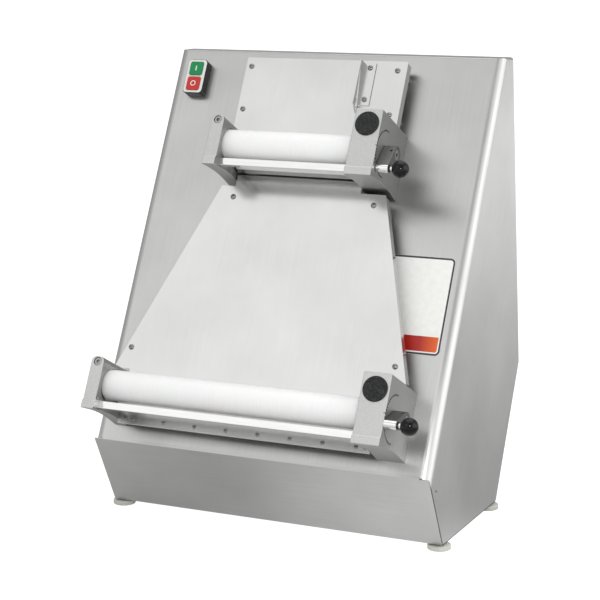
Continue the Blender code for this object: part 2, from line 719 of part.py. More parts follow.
def right_housing(stage):
    """Cast the right housing: belt pocket, bores, cap seat and the arc of index holes."""
    frame = STAGE_FRAMES[stage.name]
    prefix = stage.name + "_right"
    outer = stage.right + HOUSING_WIDTH
    middle = stage.right + HOUSING_WIDTH / 2
    side = casting_side(HOUSING_FOOT, HOUSING_TOP, HOUSING_BROW)
    body = slab(prefix + "_housing", [side], HOUSING_WIDTH, CAST, frame, (middle, 0, 0), ALONG_X)
    front = rounded([(stage.right, 0, 0), (outer, 0, 0), (outer, HOUSING_TOP, HOUSING_ROUND),
                     (stage.right, HOUSING_TOP, HOUSING_ROUND)])
    combine(body, slab(prefix + "_front", [front], 4 * CASTING_OUT, None, frame), "INTERSECT")
    bevel(body, CASTING_EDGE, 2, math.radians(50))
    pocket = rectangle(stage.right + BEARING_SEAT, POCKET_LOW, outer - POCKET_WALL, POCKET_HIGH,
                       HOUSING_ROUND)
    combine(body, slab(prefix + "_pocket", [pocket], 2 * POCKET_DEPTH, None, frame))
    journal = rod(prefix + "_axle_bore", AXLE_JOURNAL + RUNNING, 2 * HOUSING_WIDTH, None, frame,
                  (stage.right - HOUSING_WIDTH / 2, AXLE_UP, AXLE_OUT))
    combine(body, journal)
    seat = rod(prefix + "_bearing_bore", BEARING_RADIUS + SEAT, BEARING_SEAT * 2, None, frame,
               (stage.right - BEARING_SEAT / 2, AXLE_UP, REAR_ROLLER_OUT))
    combine(body, seat)
    cap_seat = rod(prefix + "_cap_seat", CAP_SPIGOT + SEAT, 2 * CAP_SINK, None, frame,
                   (middle, CAP_UP, CASTING_OUT - CAP_SINK), (0, 0, 0))
    combine(body, cap_seat)
    combine(body, index_holes(stage, prefix, outer))
    housing_cap(stage, middle)


def index_holes(stage, prefix, outer):
    """Drill the row of blind holes on an arc about the lever's pivot."""
    bm = bmesh.new()
    for step in range(INDEX_HOLES):
        angle = LEVER_OPEN + step * INDEX_PITCH
        up = AXLE_UP + LEVER_REACH * math.sin(angle)
        out = AXLE_OUT + LEVER_REACH * math.cos(angle)
        made = bmesh.ops.create_cone(
            bm, cap_ends=True, segments=INDEX_HOLE_STEPS, radius1=INDEX_HOLE_RADIUS,
            radius2=INDEX_HOLE_RADIUS, depth=2 * INDEX_HOLE_DEPTH)
        bmesh.ops.translate(bm, vec=(up, out, 0), verts=made["verts"])
    frame = STAGE_FRAMES[stage.name]
    return mesh_object(prefix + "_index_holes", bm, None, frame, (outer, 0, 0), ALONG_X)


def housing_cap(stage, x):
    """Close the round seat in the housing's face with a domed plastic cap."""
    frame = STAGE_FRAMES[stage.name]
    base = CASTING_OUT + SEAT
    profile = [
        (0, base + CAP_RIM), (CAP_RADIUS * 0.93, base + CAP_RIM), (CAP_RADIUS, base + CAP_RIM * 0.6),
        (CAP_RADIUS, base), (CAP_SPIGOT, base), (CAP_SPIGOT, base - CAP_SINK * 0.8),
        (0, base - CAP_SINK * 0.8)]
    turned(stage.name + "_housing_cap", profile, BLACK_MATT, frame, (x, CAP_UP, 0), (0, 0, 0))


def tube_profile(outer, bore, length, edge=0.0):
    """Give the closed section of a tube from height 0 up, with eased outer ends."""
    return [(bore, length), (outer - edge, length), (outer, length - edge), (outer, edge),
            (outer - edge, 0), (bore, 0)]


def bearings(stage):
    """Seat the rear shaft's bearing rings in the castings."""
    frame = STAGE_FRAMES[stage.name]
    profile = tube_profile(BEARING_RADIUS, SHAFT_RADIUS + RUNNING, BEARING_WIDTH)
    spots = (("left", stage.left - ROLLER_RECESS - BEARING_SEAT + SEAT), ("right", stage.right + SEAT))
    for side, x in spots:
        name = "%s_%s_bearing" % (stage.name, side)
        turned(name, profile, STEEL, frame, (x, AXLE_UP, REAR_ROLLER_OUT), steps=24, ring=True)


def rear_roller(stage):
    """Make the driven rear roller, its shaft and the pulley in the housing's pocket."""
    frame = STAGE_FRAMES[stage.name]
    inner = stage.left - ROLLER_RECESS
    axis = empty(stage.name + "_rear_axis", frame, (inner, AXLE_UP, REAR_ROLLER_OUT), ALONG_X)
    length = stage.right - inner - 2 * ROLLER_END_GAP
    profile = tube_profile(ROLLER_RADIUS, SHAFT_RADIUS + SEAT, length, ROLLER_EDGE)
    turned(stage.name + "_rear_roller", profile, WHITE, axis, (0, 0, ROLLER_END_GAP), (0, 0, 0),
           ROLLER_STEPS, ring=True)
    start = -BEARING_SEAT + 2 * SEAT
    end = stage.right - inner + HOUSING_WIDTH - POCKET_WALL - COVER_MARGIN
    rod(stage.name + "_rear_shaft", SHAFT_RADIUS, end - start, STEEL, axis, (0, 0, start), (0, 0, 0), 24)
    middle = stage.right - inner + PULLEY_X
    pulley(stage.name + "_driven_pulley", DRIVEN_PULLEY, SHAFT_RADIUS, axis, middle)


def pulley(name, radius, bore, axis, middle):
    """Turn a flat-belt pulley with two cheeks, centred on a place along its axis."""
    half = PULLEY_WIDTH / 2
    rim = radius + PULLEY_FLANGE
    profile = [
        (bore + SEAT, half), (rim, half), (rim, half - PULLEY_CHEEK), (radius, half - PULLEY_CHEEK),
        (radius, -half + PULLEY_CHEEK), (rim, -half + PULLEY_CHEEK), (rim, -half), (bore + SEAT, -half)]
    turned(name, profile, STEEL, axis, (0, 0, middle), (0, 0, 0), 24, ring=True)


def belt(stage):
    """Run a flat belt round the stage's driven pulley and its pulley on the drive shaft."""
    far = Vector((DRIVE_UP - stage.rise, -DRIVE_BACK))
    near = Vector((AXLE_UP, REAR_ROLLER_OUT))
    loops = []
    for grow in (SEAT, SEAT + BELT_THICKNESS):
        loops.append(belt_line(near, DRIVEN_PULLEY + grow, far, DRIVE_PULLEY + grow))
    frame = STAGE_FRAMES[stage.name]
    slab(stage.name + "_drive_belt", loops, BELT_WIDTH, BELT, frame,
         (stage.right + PULLEY_X, 0, 0), ALONG_X)


def belt_line(near, near_radius, far, far_radius):
    """Give the closed line round two circles: two arcs joined by their outer tangents."""
    gap = far - near
    heading = math.atan2(gap.y, gap.x)
    lean = math.acos((near_radius - far_radius) / gap.length)
    first = arc(near, near_radius, heading + lean, heading + 2 * math.pi - lean, 12)
    second = arc(far, far_radius, heading - lean, heading + lean, 12)
    return first + second


def front_roller(stage):
    """Hang the idle front roller on the eccentric core of the gap axle."""
    frame = STAGE_FRAMES[stage.name]
    inner = stage.left - ROLLER_RECESS
    length = stage.right - inner - 2 * ROLLER_END_GAP
    profile = tube_profile(ROLLER_RADIUS, AXLE_CORE + RUNNING, length, ROLLER_EDGE)
    up, out = stage.offset
    spot = (inner + ROLLER_END_GAP, AXLE_UP + up, AXLE_OUT + out)
    turned(stage.name + "_front_roller", profile, WHITE, frame, spot, steps=ROLLER_STEPS, ring=True)


def gap_lever(stage):
    """Make the gap lever, its eccentric axle, the sleeve at its tip and the ball-ended plunger."""
    frame = STAGE_FRAMES[stage.name]
    prefix = stage.name + "_"
    face = stage.right + HOUSING_WIDTH + LEVER_LIFT
    pivot = empty(prefix + "lever_axis", frame, (face, AXLE_UP, AXLE_OUT), ALONG_X)
    lever_arm(stage, pivot)
    eccentric_axle(stage, pivot, face)

    inner = PIN_RADIUS + RUNNING
    bore = STEM_RADIUS + RUNNING
    shoulder = PIN_LENGTH - LEVER_THICKNESS
    rim = SLEEVE_RADIUS - SLEEVE_EDGE
    profile = [
        (bore, SLEEVE_LENGTH), (rim, SLEEVE_LENGTH), (SLEEVE_RADIUS, SLEEVE_LENGTH - SLEEVE_EDGE),
        (SLEEVE_RADIUS, SEAT), (SLEEVE_NECK, SEAT), (SLEEVE_NECK, -LEVER_THICKNESS),
        (inner, -LEVER_THICKNESS), (inner, shoulder), (bore, shoulder)]
    spot = (*stage.tip, LEVER_THICKNESS)
    turned(prefix + "plunger_sleeve", profile, BLACK_MATT, pivot, spot, (0, 0, 0), 20, ring=True)
    slide = empty(prefix + "plunger_axis", pivot, spot)
    stem_end = SLEEVE_LENGTH + STEM_SHOW + BALL_BORE_END
    pin_end = SEAT - LEVER_THICKNESS - LEVER_LIFT
    profile = [
        (0, stem_end), (STEM_RADIUS, stem_end), (STEM_RADIUS, shoulder + SEAT),
        (PIN_RADIUS, shoulder + SEAT), (PIN_RADIUS, pin_end), (0, pin_end)]
    turned(prefix + "index_pin", profile, POLISHED, slide, (0, 0, 0), (0, 0, 0), SMALL_STEPS)
    ball_knob(prefix, slide)


def lever_arm(stage, pivot):
    """Shape the tapered arm and bore it for the axle, the plunger sleeve and the grub screw."""
    prefix = stage.name + "_"
    heading = math.atan2(stage.tip[1], stage.tip[0])
    lean = math.acos((LEVER_HUB - LEVER_TIP) / LEVER_REACH)
    outline = arc((0, 0), LEVER_HUB, heading + lean, heading + 2 * math.pi - lean, 16)
    outline += arc(stage.tip, LEVER_TIP, heading - lean, heading + lean, 10)
    arm = slab(prefix + "lever_arm", [outline], LEVER_THICKNESS, CAST, pivot,
               (0, 0, LEVER_THICKNESS / 2))
    bevel(arm, LEVER_EDGE, 2)
    depth = 2 * LEVER_THICKNESS
    start = -LEVER_THICKNESS / 2
    combine(arm, rod(prefix + "hub_bore", AXLE_JOURNAL + SEAT, depth, None, pivot,
                     (0, 0, start), (0, 0, 0), 24))
    combine(arm, rod(prefix + "tip_bore", SLEEVE_NECK + SEAT, depth, None, pivot,
                     (*stage.tip, start), (0, 0, 0), 20))
    way = Vector((math.sin(stage.grub), math.cos(stage.grub), 0))
    turn = way.to_track_quat("Z", "Y").to_euler()
    spot = way * (LEVER_HUB - GRUB_DEPTH) + Vector((0, 0, GRUB_OUT))
    combine(arm, rod(prefix + "grub_hole", GRUB_RADIUS, 2 * GRUB_DEPTH, None, pivot, spot, turn, 10))


def eccentric_axle(stage, pivot, face):
    """Turn the gap axle: two journals on the pivot and an offset core under the front roller."""
    inner = stage.left - ROLLER_RECESS
    span = stage.right - inner
    start = stage.left - BRACKET_WIDTH + BRACKET_WALL - face
    core = inner + ROLLER_END_GAP / 2 - face
    end = LEVER_THICKNESS - AXLE_END_SINK
    axle = rod(stage.name + "_eccentric_axle", AXLE_JOURNAL, end - start, STEEL, pivot,
               (0, 0, start), (0, 0, 0), 24)
    thick = rod(stage.name + "_axle_core", AXLE_CORE, span - ROLLER_END_GAP, None, pivot,
                (*stage.offset, core), (0, 0, 0), 24)
    combine(axle, thick, "UNION")
    combine(axle, rod(stage.name + "_axle_end_hole", AXLE_END_HOLE, 2 * AXLE_END_DEPTH, None, pivot,
                      (0, 0, end - AXLE_END_DEPTH), (0, 0, 0), 6))


def ball_knob(prefix, slide):
    """Turn the ball knob with a flat where the pin's stem enters, and a blind bore for it."""
    bore = STEM_RADIUS + SEAT
    flat = math.asin((bore + BALL_FLAT) / BALL_RADIUS)
    ball = [(BALL_RADIUS * math.cos(a), BALL_RADIUS * math.sin(a))
            for a in np.linspace(math.pi / 2, -math.pi / 2 + flat, 13)]
    bore_end = BALL_BORE_END - BALL_RADIUS + 2 * SEAT
    profile = [(0, ball[0][1])] + ball[1:] + [(bore, ball[-1][1]), (bore, bore_end), (0, bore_end)]
    middle = SLEEVE_LENGTH + STEM_SHOW + BALL_RADIUS
    turned(prefix + "ball_knob", profile, BLACK_GLOSS, slide, (0, 0, middle), (0, 0, 0), 24)


def front_scraper(stage):
    """Fold the scraper under the front roller: bright hanging flange, web and rear blade."""
    reach = ROLLER_RADIUS + ECCENTRICITY + BLADE_GAP
    run = AXLE_OUT - GUARD_BACK - GUARD_SHEET
    blade = AXLE_UP - math.sqrt(reach ** 2 - run ** 2)
    web = GUARD_TOP - GUARD_SHEET
    line = [(GUARD_BOTTOM, GUARD_OUT), (web, GUARD_OUT), (web, GUARD_BACK), (blade, GUARD_BACK)]
    length = stage.right - stage.left - 2 * SEAT
    slab(stage.name + "_front_scraper", [strip(line, GUARD_SHEET)], length, POLISHED,
         STAGE_FRAMES[stage.name], ((stage.left + stage.right) / 2, 0, 0), ALONG_X)


def rear_scraper(stage):
    """Set the scraper bar under the rear roller, sharpened where it meets the roller."""
    front = BAR_FRONT
    back = front - BAR_THICKNESS
    reach = ROLLER_RADIUS + BLADE_GAP
    tip = AXLE_UP - math.sqrt(reach ** 2 - (front - REAR_ROLLER_OUT) ** 2)
    outline = [(stage.bar_bottom, back), (stage.bar_bottom, front), (tip, front),
               (tip - BAR_THICKNESS / 2, back)]
    length = stage.right - stage.left - 2 * SEAT
    slab(stage.name + "_rear_scraper", [outline], length, STAINLESS, STAGE_FRAMES[stage.name],
         ((stage.left + stage.right) / 2, 0, 0), ALONG_X)


def folded_plate(name, corners, folded, spots):
    """Fold a plate that stands off the panel: a flat face, returned edges and posts behind it."""
    bm = bmesh.new()
    verts = [bm.verts.new((x, y, PLATE_OUT)) for x, y in corners]
    face = bm.faces.new(verts)
    if face.normal.z < 0:
        face.normal_flip()
    bm.normal_update()
    for start, end in folded:
        edge = find_edge(bm, (*corners[start], PLATE_OUT), (*corners[end], PLATE_OUT))
        sheet_flange(bm, edge, (0, 0, -PLATE_RETURN), 2 * PLATE)
    plate = mesh_object(name, bm, STAINLESS, PANEL)
    wall = plate.modifiers.new("wall", "SOLIDIFY")
    wall.thickness = PLATE
    wall.offset = -1
    wall.use_even_offset = True
    for index, (x, y) in enumerate(spots):
        post = rod("%s_post_%d" % (name, index), POST_RADIUS, PLATE_OUT - PLATE / 2 - SEAT, None, PANEL,
                   (x, y, SEAT), (0, 0, 0), SMALL_STEPS)
        combine(plate, post, "UNION")


def feed_plate():
    """Fold the plate that the dough slides down into the upper rollers."""
    mouth = UPPER.rise + MOUTH_UP
    left_step = UPPER.rise + BRACKET_TOP + PLATE_GAP
    right_step = UPPER.rise + HOUSING_TOP + PLATE_GAP
    inner_left = UPPER.left + PLATE_GAP / 2
    inner_right = UPPER.right - PLATE_GAP / 2
    left = UPPER.left - BRACKET_WIDTH - FEED_LEFT_OVERHANG
    right = UPPER.right + HOUSING_WIDTH - FEED_RIGHT_INSET
    corners = [
        (inner_left, mouth), (inner_right, mouth), (inner_right, right_step), (right, right_step),
        (right, FEED_TOP), (left, FEED_TOP), (left, left_step), (inner_left, left_step)]
    rows = (FEED_TOP - FEED_POST_DROP, right_step + FEED_POST_RISE)
    spots = [(x, y) for x in (left + POST_INSET, right - POST_INSET) for y in rows]
    folded_plate("feed_plate", corners, [(3, 4), (4, 5), (5, 6)], spots)


def transfer_chute():
    """Fold the flared plate that carries the first disc down to the lower rollers."""
    top = UPPER.rise + UPPER_BAR_BOTTOM - CHUTE_TOP_GAP
    notch = UPPER.rise + CHUTE_NOTCH_UP
    left_step = BRACKET_TOP + PLATE_GAP
    right_step = HOUSING_TOP + PLATE_GAP
    left = UPPER.left - BRACKET_WIDTH - CHUTE_LEFT_OVERHANG
    right = UPPER.right + HOUSING_WIDTH - CHUTE_RIGHT_INSET
    low_left = LOWER.left - BRACKET_WIDTH - CHUTE_LOW_LEFT_OVERHANG
    low_right = LOWER.right + HOUSING_WIDTH - CHUTE_LOW_RIGHT_INSET
    corners = [
        (LOWER.left + PLATE_GAP / 2, MOUTH_UP), (LOWER.right - PLATE_GAP / 2, MOUTH_UP),
        (LOWER.right - PLATE_GAP / 2, right_step), (low_right, right_step),
        (right, notch), (UPPER.right - PLATE_GAP, notch), (UPPER.right - PLATE_GAP, top),
        (UPPER.left + PLATE_GAP, top), (UPPER.left + PLATE_GAP, notch), (left, notch),
        (low_left, left_step), (LOWER.left + PLATE_GAP / 2, left_step)]
    spots = []
    for (x0, y0), (x1, y1), side in ((corners[10], corners[9], 1), (corners[3], corners[4], -1)):
        for y in (right_step + CHUTE_POST_RISE, notch - CHUTE_POST_DROP):
            edge = x0 + (x1 - x0) * (y - y0) / (y1 - y0)
            spots.append((edge + side * POST_INSET, y))
    folded_plate("transfer_chute", corners, [(3, 4), (9, 10)], spots)


def dough_guide():
    """Fold the angle that guides the dough's edge on the feed plate."""
    base = PLATE_OUT + SEAT
    top = base + GUIDE_HEIGHT
    x = UPPER.right - GUIDE_INSET
    high = FEED_TOP - GUIDE_DROP
    low = high - GUIDE_LENGTH
    bm = bmesh.new()
    shared = [bm.verts.new((x, low, base)), bm.verts.new((x, high, base))]
    foot = [bm.verts.new((x + GUIDE_FOOT, y, base)) for y in (high, low)]
    wall = [bm.verts.new((x, high, top)), bm.verts.new((x, low, top)),
            bm.verts.new((x, low - GUIDE_POINT, base))]
    bm.faces.new([shared[0], shared[1], *foot])
    bm.faces.new([shared[1], shared[0], wall[2], wall[1], wall[0]])
    guide = mesh_object("dough_guide", bm, STAINLESS, PANEL)
    wall = guide.modifiers.new("wall", "SOLIDIFY")
    wall.thickness = PLATE
    wall.offset = -1
    wall.use_even_offset = True


def switch():
    """Mount the push-button switch: housing, bezel, start button and stop button."""
    half_x = SWITCH_WIDTH / 2
    half_y = SWITCH_HEIGHT / 2
    front = SWITCH_OUT - BEZEL
    outline = rectangle(-half_x, -half_y, half_x, half_y, SWITCH_CORNER)
    housing = slab("switch_housing", [outline], front - SEAT, BLACK_MATT, SWITCH,
                   (0, 0, (front + SEAT) / 2))
    inner_x = half_x - SWITCH_BODY_INSET
    inner_y = half_y - SWITCH_BODY_INSET
    section = rectangle(-inner_x, -inner_y, inner_x, inner_y, WINDOW_CORNER)
    contacts = slab("switch_contacts", [section], SWITCH_BODY_DEPTH, None, SWITCH,
                    (0, 0, 2 * SEAT - SWITCH_BODY_DEPTH / 2 + SHEET))
    combine(housing, contacts, "UNION")

    rim_x = half_x - BEZEL_INSET
    rim_y = half_y - BEZEL_INSET
    outline = rectangle(-rim_x, -rim_y, rim_x, rim_y, SWITCH_CORNER - BEZEL_INSET)
    bezel = slab("switch_bezel", [outline], BEZEL - SEAT, BEZEL_WHITE, SWITCH,
                 (0, 0, SWITCH_OUT - (BEZEL - SEAT) / 2))
    bevel(bezel, BUTTON_EDGE, 2)
    hollow = BUTTON_SIZE / 2 + BUTTON_CLEARANCE
    half = BUTTON_SIZE / 2
    thickness = BUTTON_POCKET + BUTTON_PROUD - BUTTON_TRAVEL - SEAT
    half_pitch = BUTTON_SPACING / 2
    for name, y, material in (("start_button", half_pitch, GREEN), ("stop_button", -half_pitch, RED)):
        opening = rectangle(-hollow, y - hollow, hollow, y + hollow, BUTTON_CORNER + BUTTON_CLEARANCE)
        for piece in (housing, bezel):
            pocket = slab("%s_pocket_in_%s" % (name, piece.name), [opening], 2 * BUTTON_POCKET, None,
                          SWITCH, (0, 0, SWITCH_OUT))
            combine(piece, pocket)
        cap = slab(name, [rectangle(-half, -half, half, half, BUTTON_CORNER)], thickness, material,
                   SWITCH, (0, y, SWITCH_OUT + BUTTON_PROUD - thickness / 2))
        bevel(cap, BUTTON_EDGE, 2, math.radians(60))


def drive_shaft():
    """Turn the drive shaft and its two pulleys."""
    axis = empty("drive_axis", PANEL, (0, DRIVE_UP, -DRIVE_BACK), ALONG_X)
    start = MOTOR_PLATE_X + SEAT
    end = LOWER.right + PULLEY_X + PULLEY_WIDTH
    rod("drive_shaft", DRIVE_SHAFT, end - start, STEEL, axis, (0, 0, start), (0, 0, 0), 24)
    for stage in (LOWER, UPPER):
        name = stage.name + "_drive_pulley"
        pulley(name, DRIVE_PULLEY, DRIVE_SHAFT, axis, stage.right + PULLEY_X)


def drive_bracket(name, x, thickness, nose, bore):
    """Bolt a web square to the panel's back, with a foot against the panel and a bore for the drive."""
    centre = (DRIVE_UP, -DRIVE_BACK)
    back = -SHEET - SEAT
    outline = rounded([
        (DRIVE_UP - BRACKET_HALF, back, 0), (DRIVE_UP - BRACKET_HALF, back - 0.03, 0.01),
        (centre[0] - nose, centre[1] - nose, NOSE_ROUND), (centre[0] + nose, centre[1] - nose, NOSE_ROUND),
        (DRIVE_UP + BRACKET_HALF, back - 0.03, 0.01), (DRIVE_UP + BRACKET_HALF, back, 0)])
    web = slab(name, [outline], thickness, PAINT, PANEL, (x + thickness / 2, 0, 0), ALONG_X)
    foot = block(name + "_foot", (x + thickness / 2, DRIVE_UP - BRACKET_HALF, back - thickness),
                 (x + thickness - BRACKET_FOOT, DRIVE_UP + BRACKET_HALF, back), None, PANEL)
    combine(web, foot, "UNION")
    hole = rod(name + "_bore", bore, 0.1, None, PANEL, (x - 0.05, DRIVE_UP, -DRIVE_BACK))
    return web, hole


def drive_unit():
    """Hang the gear motor on its bracket and carry the shaft's far end in a bearing bracket."""
    web, hole = drive_bracket("motor_bracket", MOTOR_PLATE_X, MOTOR_PLATE, BRACKET_NOSE,
                              DRIVE_SHAFT + 0.004)
    combine(web, hole)
    web, hole = drive_bracket("shaft_bracket", BEARING_PLATE_X, MOTOR_PLATE, SHAFT_NOSE,
                              DRIVE_SHAFT + RUNNING)
    hub = rod("shaft_bracket_hub", BEARING_HUB, BEARING_HUB_WIDTH, None, PANEL,
              (BEARING_PLATE_X + MOTOR_PLATE / 2 - BEARING_HUB_WIDTH / 2, DRIVE_UP, -DRIVE_BACK), steps=24)
    combine(web, hub, "UNION")
    combine(web, hole)

    face = MOTOR_PLATE_X - SEAT
    half = GEARBOX_HALF
    outline = rectangle(DRIVE_UP - half, -DRIVE_BACK - half, DRIVE_UP + half, -DRIVE_BACK + half, 0.018)
    gearbox = slab("gearbox", [outline], GEARBOX_LENGTH, PAINT, PANEL,
                   (face - GEARBOX_LENGTH / 2, 0, 0), ALONG_X)
    bevel(gearbox, GEARBOX_EDGE, 2)
    face -= GEARBOX_LENGTH + SEAT
    fins = []
    for step in range(MOTOR_FINS):
        middle = 2 * math.pi * step / MOTOR_FINS
        width = math.pi / MOTOR_FINS / 2
        for angle, radius in ((-width, MOTOR_RADIUS - MOTOR_FIN), (-width * 0.6, MOTOR_RADIUS),
                              (width * 0.6, MOTOR_RADIUS), (width, MOTOR_RADIUS - MOTOR_FIN)):
            fins.append((DRIVE_UP + radius * math.cos(middle + angle),
                         -DRIVE_BACK + radius * math.sin(middle + angle)))
    motor = slab("motor", [fins], MOTOR_LENGTH, PAINT, PANEL, (face - MOTOR_LENGTH / 2, 0, 0), ALONG_X)
    face -= MOTOR_LENGTH
    rim = MOTOR_RADIUS - COWL_EDGE
    cowl = [(0, COWL_LAP), (MOTOR_RADIUS, COWL_LAP), (MOTOR_RADIUS, COWL_EDGE - COWL_LENGTH),
            (rim, -COWL_LENGTH), (0, -COWL_LENGTH)]
    combine(motor, turned("motor_cowl", cowl, None, PANEL, (face, DRIVE_UP, -DRIVE_BACK), steps=24),
            "UNION")

    x, y, z = CONTROL_BOX
    low = (CONTROL_BOX_X - x / 2, -y / 2, BODY_BOTTOM + SEAT)
    high = (CONTROL_BOX_X + x / 2, y / 2, BODY_BOTTOM + z)
    bevel(block("control_box", low, high, PAINT, MACHINE), 0.004, 2)


def roller_stage(stage):
    """Build one pair of rollers with everything that carries it."""
    left_bracket(stage)
    right_housing(stage)
    bearings(stage)
    rear_roller(stage)
    front_roller(stage)
    gap_lever(stage)
    front_scraper(stage)
    rear_scraper(stage)
    belt(stage)


def build():
    """Build the whole machine."""
    casing_shell()
    covers()
    feet()
    for stage in (LOWER, UPPER):
        roller_stage(stage)
    feed_plate()
    transfer_chute()
    dough_guide()
    switch()
    drive_shaft()
    drive_unit()


build()
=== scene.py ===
"""Looks of a counter-top dough sheeter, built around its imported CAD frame.

Every piece that is drawn here stands for a CAD node or sits on one, in the same frame: metres, +Z up,
front towards -Y. The leaning panel has a frame of its own: x across, s up the panel, h out from it.
All lengths are in metres and all colours are sRGB hex codes.
"""

import json
import logging
import math
from dataclasses import dataclass, field
from enum import Enum
from typing import ClassVar

import bmesh
import bpy
import numpy as np
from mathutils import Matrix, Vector

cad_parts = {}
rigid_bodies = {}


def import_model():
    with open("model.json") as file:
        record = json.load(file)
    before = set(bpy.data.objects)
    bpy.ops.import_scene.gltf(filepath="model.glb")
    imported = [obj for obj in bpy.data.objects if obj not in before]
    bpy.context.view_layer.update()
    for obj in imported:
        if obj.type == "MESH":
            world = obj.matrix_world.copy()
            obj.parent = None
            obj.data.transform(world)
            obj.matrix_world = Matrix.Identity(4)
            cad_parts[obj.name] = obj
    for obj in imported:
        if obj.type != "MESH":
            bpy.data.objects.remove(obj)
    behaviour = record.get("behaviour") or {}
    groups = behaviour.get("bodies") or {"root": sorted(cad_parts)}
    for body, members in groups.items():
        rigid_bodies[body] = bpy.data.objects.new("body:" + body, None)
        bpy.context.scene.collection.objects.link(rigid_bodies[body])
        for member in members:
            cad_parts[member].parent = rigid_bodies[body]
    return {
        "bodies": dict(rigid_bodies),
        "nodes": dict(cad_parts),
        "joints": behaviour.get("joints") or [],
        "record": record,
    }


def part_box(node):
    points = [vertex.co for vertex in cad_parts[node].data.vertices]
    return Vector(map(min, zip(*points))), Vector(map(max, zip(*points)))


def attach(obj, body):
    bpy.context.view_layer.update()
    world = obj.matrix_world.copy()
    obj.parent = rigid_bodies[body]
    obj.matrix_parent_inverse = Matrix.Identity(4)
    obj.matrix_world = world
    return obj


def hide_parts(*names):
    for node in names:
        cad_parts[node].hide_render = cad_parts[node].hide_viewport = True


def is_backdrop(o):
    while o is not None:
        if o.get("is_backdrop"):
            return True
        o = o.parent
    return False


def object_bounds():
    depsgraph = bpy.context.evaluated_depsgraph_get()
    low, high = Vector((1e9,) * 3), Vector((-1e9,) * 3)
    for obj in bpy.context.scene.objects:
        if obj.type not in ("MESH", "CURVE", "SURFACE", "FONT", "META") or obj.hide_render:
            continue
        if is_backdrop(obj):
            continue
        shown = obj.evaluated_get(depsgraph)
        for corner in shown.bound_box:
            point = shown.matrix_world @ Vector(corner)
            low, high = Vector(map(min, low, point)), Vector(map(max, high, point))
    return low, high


Pair = tuple[float, float]
Triple = tuple[float, float, float]
Mesh = bpy.types.Mesh
Piece = bpy.types.Object
Tree = bpy.types.NodeTree
# What can feed a node's input
Feed = bpy.types.Node | bpy.types.NodeSocket

LOG = logging.getLogger("dough_sheeter")
GRAIN_UV = "grain"
ACROSS = Vector((1, 0, 0))
UPRIGHT = Vector((0, 0, 1))
# Most of a noise lies between these two values
NOISE_SPAN = (0.3, 0.7)
# A grain runs straight into a face when it is this near to the face's normal, as a cosine
INTO_FACE = 0.95
# How far apart two corners are at most to be one, in a copied node and in a mesh drawn here
COPY_MERGE = 0.00001
DRAWN_MERGE = 0.0000001
# Steps of a turned piece's rounded edge, and points over a plate's edge and round its outline
ROUNDING_STEPS = 4
PLATE_EDGE_POINTS = 4
PLATE_OUTLINE_POINTS = 32
# The lower lever's pivot, up the panel and out from it
PIVOT_PLACE = (0.068, 0.0763)


class Coords(Enum):
    """Which coordinates a finish's pattern follows."""

    OBJECT = "the piece's own, in metres"
    GRAIN = "the UV map along the sheet's grain, in metres"


class Edges(Enum):
    """How sharp a bend has to be to stay a hard edge, in degrees."""

    SHEET = 28.0
    CASTING = 50.0
    TURNED = 35.0


# Colours and nodes


def linear(code: str) -> tuple[float, float, float, float]:
    """Turns an sRGB hex colour into the linear one that a shader takes.

    A part up to 0.04045 is divided by 12.92; a brighter one is ((part + 0.055) / 1.055) to the power 2.4.

    Args:
        code: Six hex digits.

    Returns:
        Red, green, blue and an alpha of 1.
    """
    parts = [int(code[index:index + 2], 16) / 255 for index in (0, 2, 4)]
    bright = [part / 12.92 if part <= 0.04045 else ((part + 0.055) / 1.055) ** 2.4 for part in parts]
    return (*bright, 1.0)


def add_node(tree: Tree, kind: str, inputs: dict | None = None, shades: tuple[str, str] | None = None,
             **settings: object) -> bpy.types.Node:
    """Adds a node, sets it and links it.

    Args:
        tree: The tree it goes in.
        kind: The node's type, without the ShaderNode that it starts with.
        inputs: For an input, its own value, or the socket or node that feeds it. A node feeds it from the
            first output that is in use.
        shades: A ramp's colours at the low and high end of a noise's span.
        **settings: The node's own settings.

    Returns:
        The new node.
    """
    node = tree.nodes.new("ShaderNode" + kind)
    for name, value in settings.items():
        setattr(node, name, value)
    for name, value in (inputs or {}).items():
        if isinstance(value, bpy.types.Node):
            value = next(output for output in value.outputs if output.enabled)
        if isinstance(value, bpy.types.NodeSocket):
            tree.links.new(value, node.inputs[name])
        else:
            node.inputs[name].default_value = value
    if shades:
        for element, place, code in zip(node.color_ramp.elements, NOISE_SPAN, shades):
            element.position = place
            element.color = linear(code)
    return node


